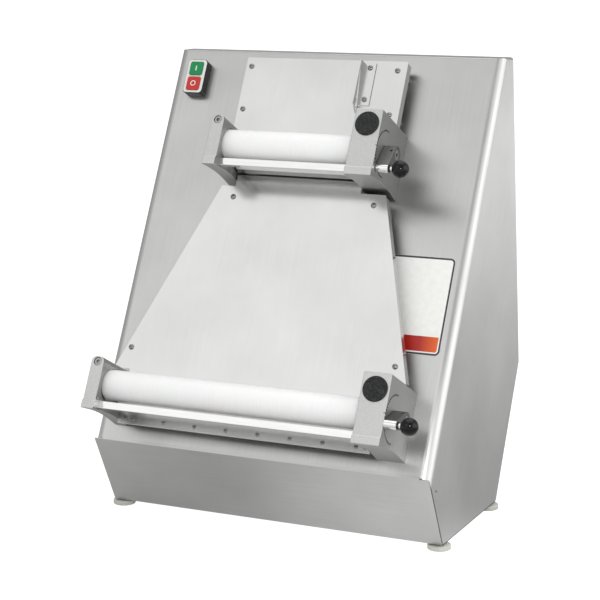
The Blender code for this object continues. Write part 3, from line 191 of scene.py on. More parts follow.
@dataclass(frozen=True)
class Finish:
    """A real surface as a procedural material.

    Fine noise, as long along the surface as its pattern says, moves the colour between two shades and
    raises a slight relief. Wide soft noise varies the roughness, as handling and cleaning do.
    """

    name: str = "finish"
    dark: str = "808080"
    light: str = "909090"
    metallic: float = 0.0
    roughness: Pair = (0.4, 0.5)
    pattern: Triple = (0.003, 0.003, 0.003)
    patches: float = 0.12
    relief: float = 0.0
    coords: Coords = Coords.OBJECT
    anisotropy: float = 0.0
    subsurface: float = 0.0
    ior: float = 1.5
    eased: float = 0.0

    def material(self) -> bpy.types.Material:
        """Builds the material.

        Returns:
            The new material.
        """
        made = bpy.data.materials.new(self.name)
        made.use_nodes = True
        tree = made.node_tree
        tree.nodes.clear()
        if self.coords is Coords.GRAIN:
            source = add_node(tree, "UVMap", uv_map=GRAIN_UV).outputs["UV"]
        else:
            source = add_node(tree, "TexCoord").outputs["Object"]
        mapping = add_node(tree, "Mapping", {
            "Vector": source, "Scale": [1 / size for size in self.pattern]})
        fine = add_node(tree, "TexNoise", {
            "Vector": mapping, "Scale": 1.0, "Detail": 3.0, "Roughness": 0.55})
        wide = add_node(tree, "TexNoise", {
            "Vector": source, "Scale": 1 / self.patches, "Detail": 2.0, "Roughness": 0.5})
        rough = add_node(tree, "MapRange", {
            "Value": wide, "From Min": NOISE_SPAN[0], "From Max": NOISE_SPAN[1],
            "To Min": self.roughness[0], "To Max": self.roughness[1]})
        inputs = {
            "Base Color": self.colour(tree, source, fine), "Roughness": rough, "Metallic": self.metallic,
            "Anisotropic": self.anisotropy, "IOR": self.ior, "Subsurface Weight": self.subsurface,
            "Subsurface Scale": 0.002, **self.glow(tree, source)}
        if self.relief:
            raised = {"Height": fine, "Strength": 1.0, "Distance": self.relief}
            if self.eased:
                raised["Normal"] = add_node(tree, "Bevel", {"Radius": self.eased}, samples=6)
            inputs["Normal"] = add_node(tree, "Bump", raised)
        if self.anisotropy:
            inputs["Tangent"] = add_node(tree, "Tangent", direction_type="UV_MAP", uv_map=GRAIN_UV)
        add_node(tree, "OutputMaterial", {"Surface": add_node(tree, "BsdfPrincipled", inputs)})
        return made

    def colour(self, tree: Tree, source: Feed, fine: Feed) -> Feed:
        """Gives the base colour, which here follows the fine noise alone."""
        return add_node(tree, "ValToRGB", {"Fac": fine}, (self.dark, self.light))

    def glow(self, tree: Tree, source: Feed) -> dict[str, Feed]:
        """Gives the shader's inputs for a surface that gives light; most give none."""
        return {}


@dataclass(frozen=True)
class BrushedSheet(Finish):
    """Stainless sheet with a long straight grain; its reflections smear across the grain."""

    name: str = "brushed_stainless_sheet"
    dark: str = "BABAB9"
    light: str = "CECECD"
    metallic: float = 1.0
    roughness: Pair = (0.28, 0.34)
    # Real grain lines are about 0.1 mm apart; these are drawn coarser so that a few show
    pattern: Triple = (0.0016, 0.14, 1.0)
    patches: float = 0.2
    relief: float = 0.000002
    coords: Coords = Coords.GRAIN
    anisotropy: float = 0.75
    cloud: float = 0.16
    streak: float = 0.35

    def colour(self, tree: Tree, source: Feed, fine: Feed) -> Feed:
        """Gives the base colour: wide soft clouds, as rolling and wiping leave them, and the grain.

        Args:
            tree: The material's nodes.
            source: The coordinates.
            fine: The grain's noise.

        Returns:
            What feeds the shader's colour.
        """
        cloud = add_node(tree, "TexNoise", {
            "Vector": source, "Scale": 1 / self.cloud, "Detail": 4.0, "Roughness": 0.5})
        return super().colour(tree, source, add_node(tree, "Mix", {0: self.streak, 2: cloud, 3: fine}))


@dataclass(frozen=True)
class BrightSheet(BrushedSheet):
    """Smoother stainless sheet, as the plates that the dough slides over have it: clearer reflections."""

    name: str = "smooth_stainless_sheet"
    dark: str = "CDCDCC"
    light: str = "DBDBDA"
    roughness: Pair = (0.20, 0.26)
    relief: float = 0.000001
    anisotropy: float = 0.45
    streak: float = 0.18


@dataclass(frozen=True)
class CastAluminium(Finish):
    """Bead-blasted aluminium casting: a fine even tooth gives it a soft pale sheen."""

    name: str = "blasted_cast_aluminium"
    dark: str = "BCBCBB"
    light: str = "D2D2D1"
    metallic: float = 1.0
    roughness: Pair = (0.36, 0.44)
    # The real tooth is about 0.2 mm; it is drawn coarser so that it shows at all
    pattern: Triple = (0.0012, 0.0012, 0.0012)
    relief: float = 0.00003
    # The edges were blasted with the rest, so each catches the light over about a millimetre
    eased: float = 0.0011


@dataclass(frozen=True)
class FlankShadeAluminium(CastAluminium):
    """The castings' flanks: darker, as painted shade on the faces turned away from the panel's normal, and
    cloudier.
    """

    name: str = "cast_aluminium_painted_flank_shade"
    dark: str = "9A9A99"
    light: str = "ACACAB"
    pattern: Triple = (0.0020, 0.0020, 0.0020)


@dataclass(frozen=True)
class OiledSteel(FlankShadeAluminium):
    """The lever's arm: forged steel, grey and lightly oiled."""

    name: str = "oiled_forged_steel"
    dark: str = "656564"
    light: str = "7A7A79"


@dataclass(frozen=True)
class PolishedSteel(Finish):
    """Bright polished steel, which mirrors what is round it with little blur."""

    name: str = "polished_steel"
    dark: str = "E2E2E1"
    light: str = "E8E8E7"
    metallic: float = 1.0
    roughness: Pair = (0.10, 0.15)
    pattern: Triple = (0.05, 0.003, 0.003)


@dataclass(frozen=True)
class MachinedSteel(Finish):
    """Turned steel with faint tool marks round its axis."""

    name: str = "machined_steel"
    dark: str = "9C9C9D"
    light: str = "ADADAE"
    metallic: float = 1.0
    roughness: Pair = (0.28, 0.34)
    # Real tool marks are about 0.1 mm apart; these are drawn coarser
    pattern: Triple = (0.0008, 0.02, 0.02)
    relief: float = 0.000006


@dataclass(frozen=True)
class DarkSteel(MachinedSteel):
    """Greyed steel of the small dome-headed screws, each with one sharp highlight."""

    name: str = "greyed_screw_steel"
    dark: str = "7E7E80"
    light: str = "949496"
    roughness: Pair = (0.20, 0.26)


@dataclass(frozen=True)
class BoreShade(Finish):
    """Inside of the index holes, painted near black as shade, so that each reads as a black dot."""

    name: str = "painted_bore_shade"
    dark: str = "1A1A1A"
    light: str = "262625"
    metallic: float = 0.3
    roughness: Pair = (0.45, 0.6)
    pattern: Triple = (0.001, 0.001, 0.001)


@dataclass(frozen=True)
class RollerPlastic(Finish):
    """White food-grade plastic of the rollers, turned: a broad satin highlight."""

    name: str = "white_roller_plastic"
    dark: str = "EDEDED"
    light: str = "F3F3F2"
    roughness: Pair = (0.34, 0.42)
    # Fine turning marks run round the roller, so the pattern is short along it and long around it
    pattern: Triple = (0.0012, 0.03, 0.03)
    relief: float = 0.000008
    subsurface: float = 0.15


@dataclass(frozen=True)
class GlossyBlack(Finish):
    """Moulded phenolic of the ball knobs, as glossy as lacquer."""

    name: str = "glossy_black_phenolic"
    dark: str = "010101"
    light: str = "030303"
    roughness: Pair = (0.04, 0.07)
    pattern: Triple = (0.006, 0.006, 0.006)
    ior: float = 1.38


@dataclass(frozen=True)
class MattBlack(Finish):
    """Grained black plastic of caps, sleeves and the switch housing: mottled, with a weak sheen.

    The moulded grain is about 0.3 mm in the real piece; it is drawn coarser so that it shows.
    """

    name: str = "matt_black_plastic"
    dark: str = "0A0C0B"
    light: str = "343635"
    roughness: Pair = (0.30, 0.38)
    ior: float = 1.32
    relief: float = 0.00002


@dataclass(frozen=True)
class BezelPlastic(Finish):
    """Pale moulded plastic frame round the two buttons, slightly satin."""

    name: str = "pale_bezel_plastic"
    dark: str = "DADAD6"
    light: str = "E2E2DE"
    roughness: Pair = (0.28, 0.36)


@dataclass(frozen=True)
class GreenButton(BezelPlastic):
    """Moulded start button: green all through, slightly satin."""

    name: str = "green_button_plastic"
    dark: str = "047C47"
    light: str = "0A8A50"
    ior: float = 1.42
    pattern: Triple = (0.004, 0.004, 0.004)


@dataclass(frozen=True)
class RedButton(GreenButton):
    """Moulded stop button: the same plastic in red."""

    name: str = "red_button_plastic"
    dark: str = "B82C28"
    light: str = "C4332E"


@dataclass(frozen=True)
class MarkInk(Finish):
    """Pale moulded marks on the buttons: a bar and a ring."""

    name: str = "pale_button_mark"
    dark: str = "E6ECE8"
    light: str = "F0F4F1"
    roughness: Pair = (0.35, 0.45)
    pattern: Triple = (0.002, 0.002, 0.002)


@dataclass(frozen=True)
class FootRubber(Finish):
    """Pale grey rubber of the feet: a dry bloom leaves it without a highlight."""

    name: str = "pale_foot_rubber"
    dark: str = "BDBDB4"
    light: str = "CBCBC3"
    roughness: Pair = (0.60, 0.72)
    relief: float = 0.00003


@dataclass(frozen=True)
class MachinePaint(Finish):
    """Grey enamel on the motor and brackets, with a slight orange peel."""

    name: str = "grey_machine_paint"
    dark: str = "7A7E80"
    light: str = "84888A"
    roughness: Pair = (0.35, 0.45)
    relief: float = 0.00003


@dataclass(frozen=True)
class BeltRubber(Finish):
    """Black rubber of the drive belts, dusty and matt."""

    name: str = "black_belt_rubber"
    dark: str = "1C1C1C"
    light: str = "2A2A29"
    roughness: Pair = (0.65, 0.80)
    pattern: Triple = (0.001, 0.001, 0.001)
    relief: float = 0.00003


@dataclass(frozen=True)
class PlatePrint(Finish):
    """Printed plate: pale field, thin dark border and a warm band along its foot, with no wording.

    The plate's UV map is in metres from its middle. With q = |p| - (half - r), a point p is
    |max(q, 0)| + min(max(qx, qy), 0) - r outside the outline, whose corners have the radius r.
    """

    name: str = "printed_plate"
    dark: str = "E9E9E6"
    light: str = "F1F1EE"
    roughness: Pair = (0.30, 0.38)
    pattern: Triple = (0.01, 0.01, 0.01)
    coords: Coords = Coords.GRAIN
    half: Pair = (0.05, 0.07)
    corner: float = 0.008
    rim: float = 0.0003
    border: float = 0.0030
    margin: float = 0.0020
    band: float = 0.029
    band_reach: float = 1.3
    band_left: str = "AC1A0C"
    band_right: str = "E0641A"
    border_colour: str = "3A3A3C"

    def colour(self, tree: Tree, source: Feed, fine: Feed) -> Feed:
        """Gives the printed field, band and border.

        Args:
            tree: The material's nodes.
            source: The coordinates.
            fine: The fine noise.

        Returns:
            What feeds the shader's colour.
        """
        shown = super().colour(tree, source, fine)
        size = add_node(tree, "VectorMath", {0: source}, operation="ABSOLUTE")
        core = (self.half[0] - self.corner, self.half[1] - self.corner, 0)
        past = add_node(tree, "VectorMath", {0: size, 1: core}, operation="SUBTRACT")
        outside = add_node(tree, "VectorMath", {0: past, 1: (0, 0, 0)}, operation="MAXIMUM")
        length = add_node(tree, "VectorMath", {0: outside}, operation="LENGTH")
        parts = add_node(tree, "SeparateXYZ", {"Vector": past}).outputs
        inside = add_node(tree, "Math", {0: parts["X"], 1: parts["Y"]}, operation="MAXIMUM")
        inside = add_node(tree, "Math", {0: inside, 1: 0.0}, operation="MINIMUM")
        edge = add_node(tree, "Math", {0: length, 1: inside}, operation="ADD")
        middle = self.corner - self.rim - self.border / 2
        line = add_node(tree, "Math", {0: edge, 1: middle, 2: self.border / 2}, operation="COMPARE")
        limit = self.corner - self.rim - self.border - self.margin
        within = add_node(tree, "Math", {0: edge, 1: limit}, operation="LESS_THAN")
        place = add_node(tree, "SeparateXYZ", {"Vector": source}).outputs
        low = add_node(tree, "Math", {0: place["Y"], 1: self.band - self.half[1]}, operation="LESS_THAN")
        band = add_node(tree, "Math", {0: low, 1: within}, operation="MULTIPLY")
        across = add_node(tree, "MapRange", {
            "Value": place["X"], "From Max": self.half[0] * self.band_reach})
        warm = add_node(tree, "ValToRGB", {"Fac": across}, (self.band_left, self.band_right))
        for factor, colour in ((band, warm), (line, linear(self.border_colour))):
            shown = add_node(tree, "Mix", {0: factor, 6: shown, 7: colour}, data_type="RGBA")
        return shown


@dataclass(frozen=True)
class FloorPaper(Finish):
    """White table of a photo studio that glows evenly where it is seen straight on; in reflections it shows a
    painted shade and a painted pool of light.

    Of its strengths, lit is what the camera sees, and near, far and pool are those in reflections.
    """

    name: str = "white_light_table"
    dark: str = "7C7C7C"
    light: str = "7E7E7E"
    roughness: Pair = (0.85, 0.95)
    pattern: Triple = (0.4, 0.4, 0.4)
    patches: float = 2.0
    lit: float = 1.0
    near: float = 0.20
    far: float = 0.92
    spot: Triple = (0.45, 0.45, 0.0)
    reach: float = 4.0
    pool: float = 0.42
    pool_spot: Triple = (0.24, -0.20, 0.0)
    pool_size: float = 0.40

    def glow(self, tree: Tree, source: Feed) -> dict[str, Feed]:
        """Makes the table glow: seen straight on it is evenly white; in reflections its glow fades, as a
        painted shade near the spot.

        In a reflection its glow runs from near, at the spot, to far, at the reach from it, and a soft pool
        of light lies on it in front of the machine.

        Args:
            tree: The material's nodes.
            source: The coordinates.

        Returns:
            What feeds the shader's emission.
        """
        away, beside = (add_node(tree, "VectorMath", {0: source, 1: spot}, operation="DISTANCE")
                        for spot in (self.spot, self.pool_spot))
        # Dim at the spot and brighter further off: a painted shade that only reflections show
        fade = add_node(tree, "MapRange", {
            "Value": away, "From Max": self.reach, "To Min": self.near, "To Max": self.far})
        pool = add_node(tree, "MapRange", {
            "Value": beside, "From Min": self.pool_size, "From Max": 0.0, "To Max": self.pool},
            interpolation_type="SMOOTHSTEP")
        both = add_node(tree, "Math", {0: fade, 1: pool}, operation="ADD")
        seen = add_node(tree, "LightPath").outputs["Is Camera Ray"]
        return {"Emission Strength": add_node(tree, "Mix", {0: seen, 2: both, 3: self.lit})}


@dataclass
class Palette:
    """The materials of the scene, each built once."""

    SLOTS: ClassVar[dict[str, Finish]] = {
        "brushed_stainless": BrushedSheet(),
        "satin_cast_aluminium": CastAluminium(),
        "polished_steel": PolishedSteel(),
        "white_roller_plastic": RollerPlastic(),
        "white_bezel_plastic": BezelPlastic(),
        "glossy_black_phenolic": GlossyBlack(),
        "matt_black_plastic": MattBlack(),
        "green_button_plastic": GreenButton(),
        "red_button_plastic": RedButton(),
        "grey_foot_rubber": FootRubber(),
        "machined_steel": MachinedSteel(),
        "grey_machine_paint": MachinePaint(),
        "black_belt_rubber": BeltRubber(),
    }

    made: dict[str, bpy.types.Material] = field(default_factory=dict)

    def dress(self, mesh: Mesh, finish: Finish, chosen: np.ndarray | None = None) -> None:
        """Puts a finish on a mesh.

        Args:
            mesh: The mesh.
            finish: The finish.
            chosen: True for each face that takes it; where left out, all do, in place of any other.
        """
        if finish.name not in self.made:
            self.made[finish.name] = finish.material()
        index = read(mesh.polygons, "material_index")
        if chosen is None:
            mesh.materials.clear()
            index[:] = 0
        else:
            index[chosen] = len(mesh.materials)
        mesh.materials.append(self.made[finish.name])
        mesh.polygons.foreach_set("material_index", index)


# Frames and mesh helpers


def read(items: bpy.types.bpy_prop_collection, name: str, width: int = 1) -> np.ndarray:
    """Reads a property of every vertex, corner or face of a mesh.

    Args:
        items: The mesh's vertices, corners or faces.
        name: The property.
        width: How many numbers it has; a single one is a whole number.

    Returns:
        A row for each item, or one flat array of single numbers.
    """
    values = np.empty(len(items) * width, np.int32 if width == 1 else np.float64)
    items.foreach_get(name, values)
    return values if width == 1 else values.reshape(-1, width)


def faces(mesh: Mesh) -> tuple[np.ndarray, np.ndarray]:
    """Gives the middles and the unit normals of a mesh's faces, as rows."""
    return read(mesh.polygons, "center", 3), read(mesh.polygons, "normal", 3)


def corners(mesh: Mesh) -> np.ndarray:
    """Gives the place of every corner of every face of a mesh, as rows."""
    return read(mesh.vertices, "co", 3)[read(mesh.loops, "vertex_index")]


def measure(node: str) -> tuple[Vector, Vector, Vector]:
    """Gives a CAD node's lowest corner, highest corner and middle."""
    low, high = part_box(node)
    return low, high, (low + high) / 2


@dataclass(frozen=True)
class PanelFrame:
    """Frame of the leaning panel, or of a place on it."""

    origin: Vector
    up: Vector
    out: Vector

    def at(self, x: float, s: float, h: float) -> Vector:
        """Gives the point x across, s up the panel and h out from it."""
        return self.origin + ACROSS * x + self.up * s + self.out * h

    def shifted(self, x: float, s: float, h: float) -> "PanelFrame":
        """Gives the same frame with its origin at another of its points."""
        return PanelFrame(self.at(x, s, h), self.up, self.out)

    def grid(self, x: np.ndarray, s: np.ndarray, h: np.ndarray) -> np.ndarray:
        """Gives the points origin + x * across + s * up + h * out, for whole arrays of x, s and h."""
        across, up, out = np.array([ACROSS, self.up, self.out])
        return np.array(self.origin) + x[..., None] * across + s[..., None] * up + h[..., None] * out

    def local(self, points: np.ndarray) -> np.ndarray:
        """Turns rows of points into rows of x, s and h."""
        return (points - np.array(self.origin)) @ np.array([ACROSS, self.up, self.out]).T

    def measure(self, node: Piece) -> tuple[Vector, Vector, Vector]:
        """Gives a node's lowest corner, highest corner and middle in this frame.

        Args:
            node: The CAD node.

        Returns:
            The three places, as x, s and h.
        """
        points = self.local(read(node.data.vertices, "co", 3))
        low, high = Vector(points.min(0)), Vector(points.max(0))
        return low, high, (low + high) / 2


def clean(mesh: Mesh, edges: Edges, drawn: bool) -> None:
    """Merges a mesh's loose corners and shades it smooth up to its hard edges.

    Args:
        mesh: The mesh.
        edges: How sharp a hard edge is.
        drawn: It was drawn here, so its faces are turned outwards as well.
    """
    work = bmesh.new()
    work.from_mesh(mesh)
    bmesh.ops.remove_doubles(work, verts=work.verts, dist=DRAWN_MERGE if drawn else COPY_MERGE)
    if drawn:
        bmesh.ops.recalc_face_normals(work, faces=work.faces)
    work.to_mesh(mesh)
    work.free()
    mesh.shade_smooth()
    mesh.set_sharp_from_angle(angle=math.radians(edges.value))


def lay_map(mesh: Mesh, pairs: np.ndarray) -> None:
    """Adds the grain's UV map from a row of two for each corner."""
    mesh.uv_layers.new(name=GRAIN_UV).uv.foreach_set("vector", pairs.ravel().astype(np.float32))


def lay_grain(mesh: Mesh, along: Vector) -> None:
    """Adds the UV map of a sheet's grain: v runs along the grain and u across it, in metres.

    On a face with unit normal n and a grain direction g, v = g - (g . n) n made a unit and u = v x n. A
    corner at p has the coordinates (p . u, p . v). A face that the grain runs straight into takes the
    direction across the machine instead.

    Args:
        mesh: The mesh.
        along: The grain's direction.
    """
    normal = faces(mesh)[1]
    into = np.abs(normal @ np.array(along)) > INTO_FACE
    grain = np.where(into[:, None], np.array(ACROSS), np.array(along))
    grain = grain - (grain * normal).sum(1)[:, None] * normal
    grain /= np.linalg.norm(grain, axis=1)[:, None]
    total = read(mesh.polygons, "loop_total")
    axes = (np.cross(grain, normal), grain)
    lay_map(mesh, np.stack([(corners(mesh) * np.repeat(axis, total, 0)).sum(1) for axis in axes], 1))


def link(name: str, data: bpy.types.ID) -> Piece:
    """Makes an object of a mesh, light or camera.

    Args:
        name: The object's name.
        data: What it holds.

    Returns:
        The new object, at the origin.
    """
    made = bpy.data.objects.new(name, data)
    bpy.context.scene.collection.objects.link(made)
    return made


def surface(name: str, grid: np.ndarray, wrap: bool = False, edges: Edges = Edges.TURNED) -> Piece:
    """Makes a mesh of quads from a grid of points, its first direction closed on itself.

    Args:
        name: The object's name.
        grid: Points as (around, along, 3).
        wrap: Close the second direction as well.
        edges: How sharp a hard edge is.

    Returns:
        The new object.
    """
    around, along = grid.shape[:2]
    first = np.arange(around)[:, None]
    second = np.arange(along if wrap else along - 1)[None, :]
    next_first = (first + 1) % around
    next_second = (second + 1) % along
    quads = np.stack([first * along + second, next_first * along + second,
                      next_first * along + next_second, first * along + next_second], -1).reshape(-1, 4)
    mesh = bpy.data.meshes.new(name)
    mesh.from_pydata(grid.reshape(-1, 3).tolist(), [], quads.tolist())
    clean(mesh, edges, True)
    return link(name, mesh)


def turned(name: str, profile: list[Pair | np.ndarray], origin: Vector, axis: Vector, steps: int,
           wrap: bool = False) -> Piece:
    """Makes a turned surface.

    Point (i, j) is origin + axis * height_j + radius_j * (cos(a_i) * side + sin(a_i) * other), where
    a_i = 2 pi i / steps and side and other are square to the axis and to each other.

    Args:
        name: The object's name.
        profile: Points as (radius, height), and arrays with rows of them.
        origin: Where height is 0.
        axis: The axis's direction, a unit.
        steps: Steps round the axis.
        wrap: The profile is closed, as of a tube.

    Returns:
        The new object.
    """
    side = np.array(axis.orthogonal().normalized())
    other = np.cross(np.array(axis), side)
    angle = np.linspace(0, 2 * math.pi, steps, endpoint=False)[:, None, None]
    radius, height = np.vstack(profile).T
    ring = np.cos(angle) * side + np.sin(angle) * other
    grid = np.array(origin) + height[None, :, None] * np.array(axis) + radius[None, :, None] * ring
    made = surface(name, grid, wrap)
    lay_grain(made.data, axis)
    return made


def quarter(radius: float, height: float, size: float, top: bool) -> np.ndarray:
    """Gives the profile points that round an outer edge of a turned piece.

    They lie on a quarter circle of the given size whose middle is that far inside the side and the end.

    Args:
        radius: The piece's radius.
        height: The height of the end that the edge meets.
        size: The rounding's radius.
        top: The edge is at the upper end.

    Returns:
        Rows from the end face outwards and down, or from the side down to the lower end.
    """
    turn = np.linspace(0, math.pi / 2, ROUNDING_STEPS + 1)
    inside = radius - size
    if top:
        return np.stack([inside + size * np.sin(turn), height - size + size * np.cos(turn)], 1)
    return np.stack([inside + size * np.cos(turn), height + size - size * np.sin(turn)], 1)


def plate(name: str, frame: PanelFrame, size: Triple, corner: float, edge: float) -> Piece:
    """Makes a thin plate with rounded corners and an eased front edge, on the frame's plane.

    The outline with corner radius r inset by d keeps its corner centres and has the radius r - d. Its
    rings follow a quarter circle over the edge, and a last ring shrunk to the middle closes the face.

    Args:
        name: The object's name.
        frame: The frame whose origin is the plate's middle.
        size: Width, height and thickness.
        corner: The corner radius.
        edge: The rounding of the front edge.

    Returns:
        The new object, with its UV map in metres from its middle.
    """
    points = PLATE_OUTLINE_POINTS
    angle = np.linspace(0, 2 * math.pi, points, endpoint=False) + math.pi / points
    way = np.stack([np.cos(angle), np.sin(angle)], 1)
    centre = np.sign(way) * (np.array(size[:2]) / 2 - corner)
    turn = np.linspace(0, math.pi / 2, PLATE_EDGE_POINTS)
    insets = np.concatenate([[corner, 0.0], edge * (1 - np.cos(turn)), [corner]])
    heights = np.concatenate([[0.0, 0.0, 0.0], size[2] - edge * (1 - np.sin(turn)), [size[2], size[2]]])
    flat = centre[:, None] + (corner - insets)[None, :, None] * way[:, None]
    ends = np.zeros((points, 1, 2))
    flat = np.concatenate([ends, flat, ends], 1)
    made = surface(name, frame.grid(flat[..., 0], flat[..., 1], heights[None]))
    lay_map(made.data, frame.local(corners(made.data))[:, :2])
    return made


def strip(name: str, frame: PanelFrame, profile: np.ndarray, ends: Pair) -> Piece:
    """Makes a strip across the machine: a closed profile carried along x, with its ends closed.

    Point (i, j) is the profile's point i at the end j; the first and last rings are the profile's
    middle, which closes each end.

    Args:
        name: The object's name.
        frame: The frame that the profile is in.
        profile: Rows of (s, h), in order round the profile.
        ends: Where it starts and ends across the machine.

    Returns:
        The new object, with its grain along it.
    """
    middle = np.broadcast_to(profile.mean(0), profile.shape)
    rings = np.stack([middle, profile, profile, middle], 1)
    across = np.repeat(ends, 2)[None]
    made = surface(name, frame.grid(across, rings[..., 0], rings[..., 1]), edges=Edges.SHEET)
    lay_grain(made.data, ACROSS)
    return made


# Pieces of the machine


@dataclass
class Assembly:
    """What every sub-assembly shares: the frame, the materials and how a piece is finished.

    Attributes:
        panel: The panel's frame.
        palette: The materials.
    """

    frame: dict
    panel: PanelFrame
    palette: Palette

    def __post_init__(self) -> None:
        """Looks up the CAD nodes, and the body that each is on."""
        self.nodes: dict[str, Piece] = self.frame["nodes"]
        bodies = self.frame["record"]["behaviour"]["bodies"]
        self.body_of: dict[str, str] = {node: body for body, members in bodies.items() for node in members}

    def keep(self, piece: Piece, slot: str, node: str | None = None, finish: Finish | None = None,
             body: str = "machine") -> None:
        """Finishes a piece: its material, the body it rides on, and the node it stands for.

        Args:
            piece: The piece, in place.
            slot: The record's material slot.
            node: The CAD node that it replaces, whose body it then rides on.
            finish: Its finish; the slot's own where left out.
            body: The CAD body that it rides on where it replaces no node.
        """
        self.palette.dress(piece.data, finish or Palette.SLOTS[slot])
        if node:
            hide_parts(node)
            body = self.body_of[node]
        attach(piece, body)
        LOG.info("%s rides on %s", piece.name, body)

    def look(self, node: str, slot: str, edges: Edges = Edges.SHEET, grain: Vector | None = None,
             finish: Finish | None = None) -> Mesh:
        """Stands a copy of a CAD node, merged and smoothly shaded, in its place.

        Args:
            node: The CAD node, which stays as it is.
            slot: Its material slot.
            edges: How sharp a hard edge is.
            grain: The grain's direction; up the panel where left out.
            finish: Its finish; the slot's own where left out.

        Returns:
            The copy's mesh.
        """
        mesh = self.nodes[node].data.copy()
        custom = mesh.attributes.get("custom_normal")
        if custom:
            mesh.attributes.remove(custom)
        clean(mesh, edges, False)
        lay_grain(mesh, grain or self.panel.up)
        piece = link(node + "_look", mesh)
        weigh = piece.modifiers.new("flat_faces", "WEIGHTED_NORMAL")
        weigh.keep_sharp = True
        weigh.weight = 80
        self.keep(piece, slot, node, finish)
        return mesh


@dataclass
class ScrewSizes:
    """Sizes of a dome-headed screw."""

    radius: float = 0.0046
    height: float = 0.0028
    socket: float = 0.0014
    depth: float = 0.0010
    dome_points: int = 7
    steps: int = 24


PLATE_SCREW = ScrewSizes()
BAR_SCREW = ScrewSizes(radius=0.0033, height=0.0020, socket=0.0011, depth=0.0008, steps=16)
SEAM_SCREW = ScrewSizes(radius=0.0024, height=0.0014, socket=0.0009, depth=0.0007, steps=16)


class Screws(Assembly):
    """The small dome-headed screws that show on the plates, the guide, the bar and the casing."""

    def screw(self, name: str, spot: Vector, axis: Vector, sizes: ScrewSizes) -> None:
        """Sets one screw head on a face of the machine.

        The dome is part of an ellipse: radius R cos(a) at height H sin(a), cut off at the socket.

        Args:
            name: The screw's name.
            spot: The middle of its seat.
            axis: The direction that its head points in.
            sizes: Its sizes.
        """
        turn = np.linspace(0, math.acos(sizes.socket / sizes.radius), sizes.dome_points)
        dome = np.stack([sizes.radius * np.cos(turn), sizes.height * np.sin(turn)], 1)
        floor = dome[-1, 1] - sizes.depth
        piece = turned(name, [(0, 0), dome, (sizes.socket, floor), (0, floor)], spot, axis, sizes.steps)
        self.keep(piece, "machined_steel", finish=DarkSteel())


@dataclass
class Casing(Screws):
    """The folded casing, its covers and base plate, and the generic plate on the panel.

    Places are given across the panel, up it and out from it.
    """

    plate_x: Pair = (0.152, 0.2655)
    plate_s: Pair = (0.186, 0.340)
    plate_gap: float = 0.0001
    plate_thickness: float = 0.0005
    plate_corner: float = 0.008
    plate_edge: float = 0.0002
    seam_screw: Triple = (0.285, -0.0093, -0.0358)
    crease: Pair = (-0.0018, 0.0)
    lip_ends: Pair = (-0.2695, 0.2695)
    lip_bend: float = 0.0012
    lip_length: float = 0.0040
    lip_proud: float = 0.0002
    lip_steps: int = 6

    def build(self) -> None:
        """Builds the casing's pieces."""
        for node, grain in (("casing_shell", None), ("lower_front_panel", ACROSS), ("rear_cover", None),
                            ("base_plate", ACROSS)):
            self.look(node, "brushed_stainless", grain=grain)
        self.look("cable_gland", "matt_black_plastic", Edges.TURNED)
        self.lip()
        self.screw("seam_screw", self.panel.at(*self.seam_screw), ACROSS, SEAM_SCREW)
        self.label()

    def lip(self) -> None:
        """Lays the front panel's folded lip over the crease.

        With the panel's normal n1, the front panel's normal n2 and the crease C in (s, h), the lip's outer
        bend has its middle at C + (d - r) (n1 + n2) / (1 + n1 . n2), where d is how far it stands proud and
        r its radius; its inner bend is the same with -d and no radius. Each lip runs on along its sheet.
        """
        low = self.panel.measure(self.nodes["lower_front_panel"])[0]
        down = np.array([low.y - self.crease[0], low.z - self.crease[1]])
        down /= np.linalg.norm(down)
        first, second = np.array([0.0, 1.0]), np.array([down[1], -down[0]])
        half = (first + second) / (1 + first @ second)
        spot, proud, bend = np.array(self.crease), self.lip_proud, self.lip_bend
        turn = np.linspace(math.pi / 2, math.atan2(second[1], second[0]), self.lip_steps)[:, None]
        arc = spot + (proud - bend) * half + bend * np.concatenate([np.cos(turn), np.sin(turn)], 1)
        start = arc[0] + self.lip_length * np.array([1.0, 0.0])
        end = arc[-1] + self.lip_length * down
        profile = np.vstack([start, arc, end, end - 2 * proud * second, spot - proud * half,
                             start - 2 * proud * first])
        piece = strip("front_panel_lip", self.panel, profile, self.lip_ends)
        self.keep(piece, "brushed_stainless")

    def label(self) -> None:
        """Sets the bare printed plate on the panel, in the place where such a machine has one."""
        (x0, x1), (s0, s1) = self.plate_x, self.plate_s
        spot = self.panel.shifted((x0 + x1) / 2, (s0 + s1) / 2, self.plate_gap)
        size = (x1 - x0, s1 - s0, self.plate_thickness)
        piece = plate("bare_printed_plate", spot, size, self.plate_corner, self.plate_edge)
        self.keep(piece, "white_bezel_plastic", finish=PlatePrint(half=(size[0] / 2, size[1] / 2)))


@dataclass
class Plates(Screws):
    """Feed plate, transfer chute and dough guide, with their screws.

    A screw's place is given across the panel and up it; the faces say how far out it sits.
    """

    face: float = 0.0331
    guide_face: float = 0.0349
    feed: tuple[Pair, ...] = ((-0.1284, 0.629), (0.126, 0.629), (-0.1284, 0.5547), (0.126, 0.5547))
    chute: tuple[Pair, ...] = ((-0.1123, 0.405), (0.129, 0.4054), (-0.235, 0.1445), (0.2123, 0.1565))
    guide: tuple[Pair, ...] = ((0.0798, 0.6318), (0.0799, 0.5782))

    def build(self) -> None:
        """Builds the plates, and then their screws."""
        rows = (("feed_plate", self.feed, self.face), ("transfer_chute", self.chute, self.face),
                ("dough_guide", self.guide, self.guide_face))
        for node, _, _ in rows:
            self.look(node, "brushed_stainless", finish=BrightSheet())
        for node, spots, face in rows:
            for index, spot in enumerate(spots):
                self.screw(f"{node}_screw_{index}", self.panel.at(*spot, face), self.panel.out, PLATE_SCREW)


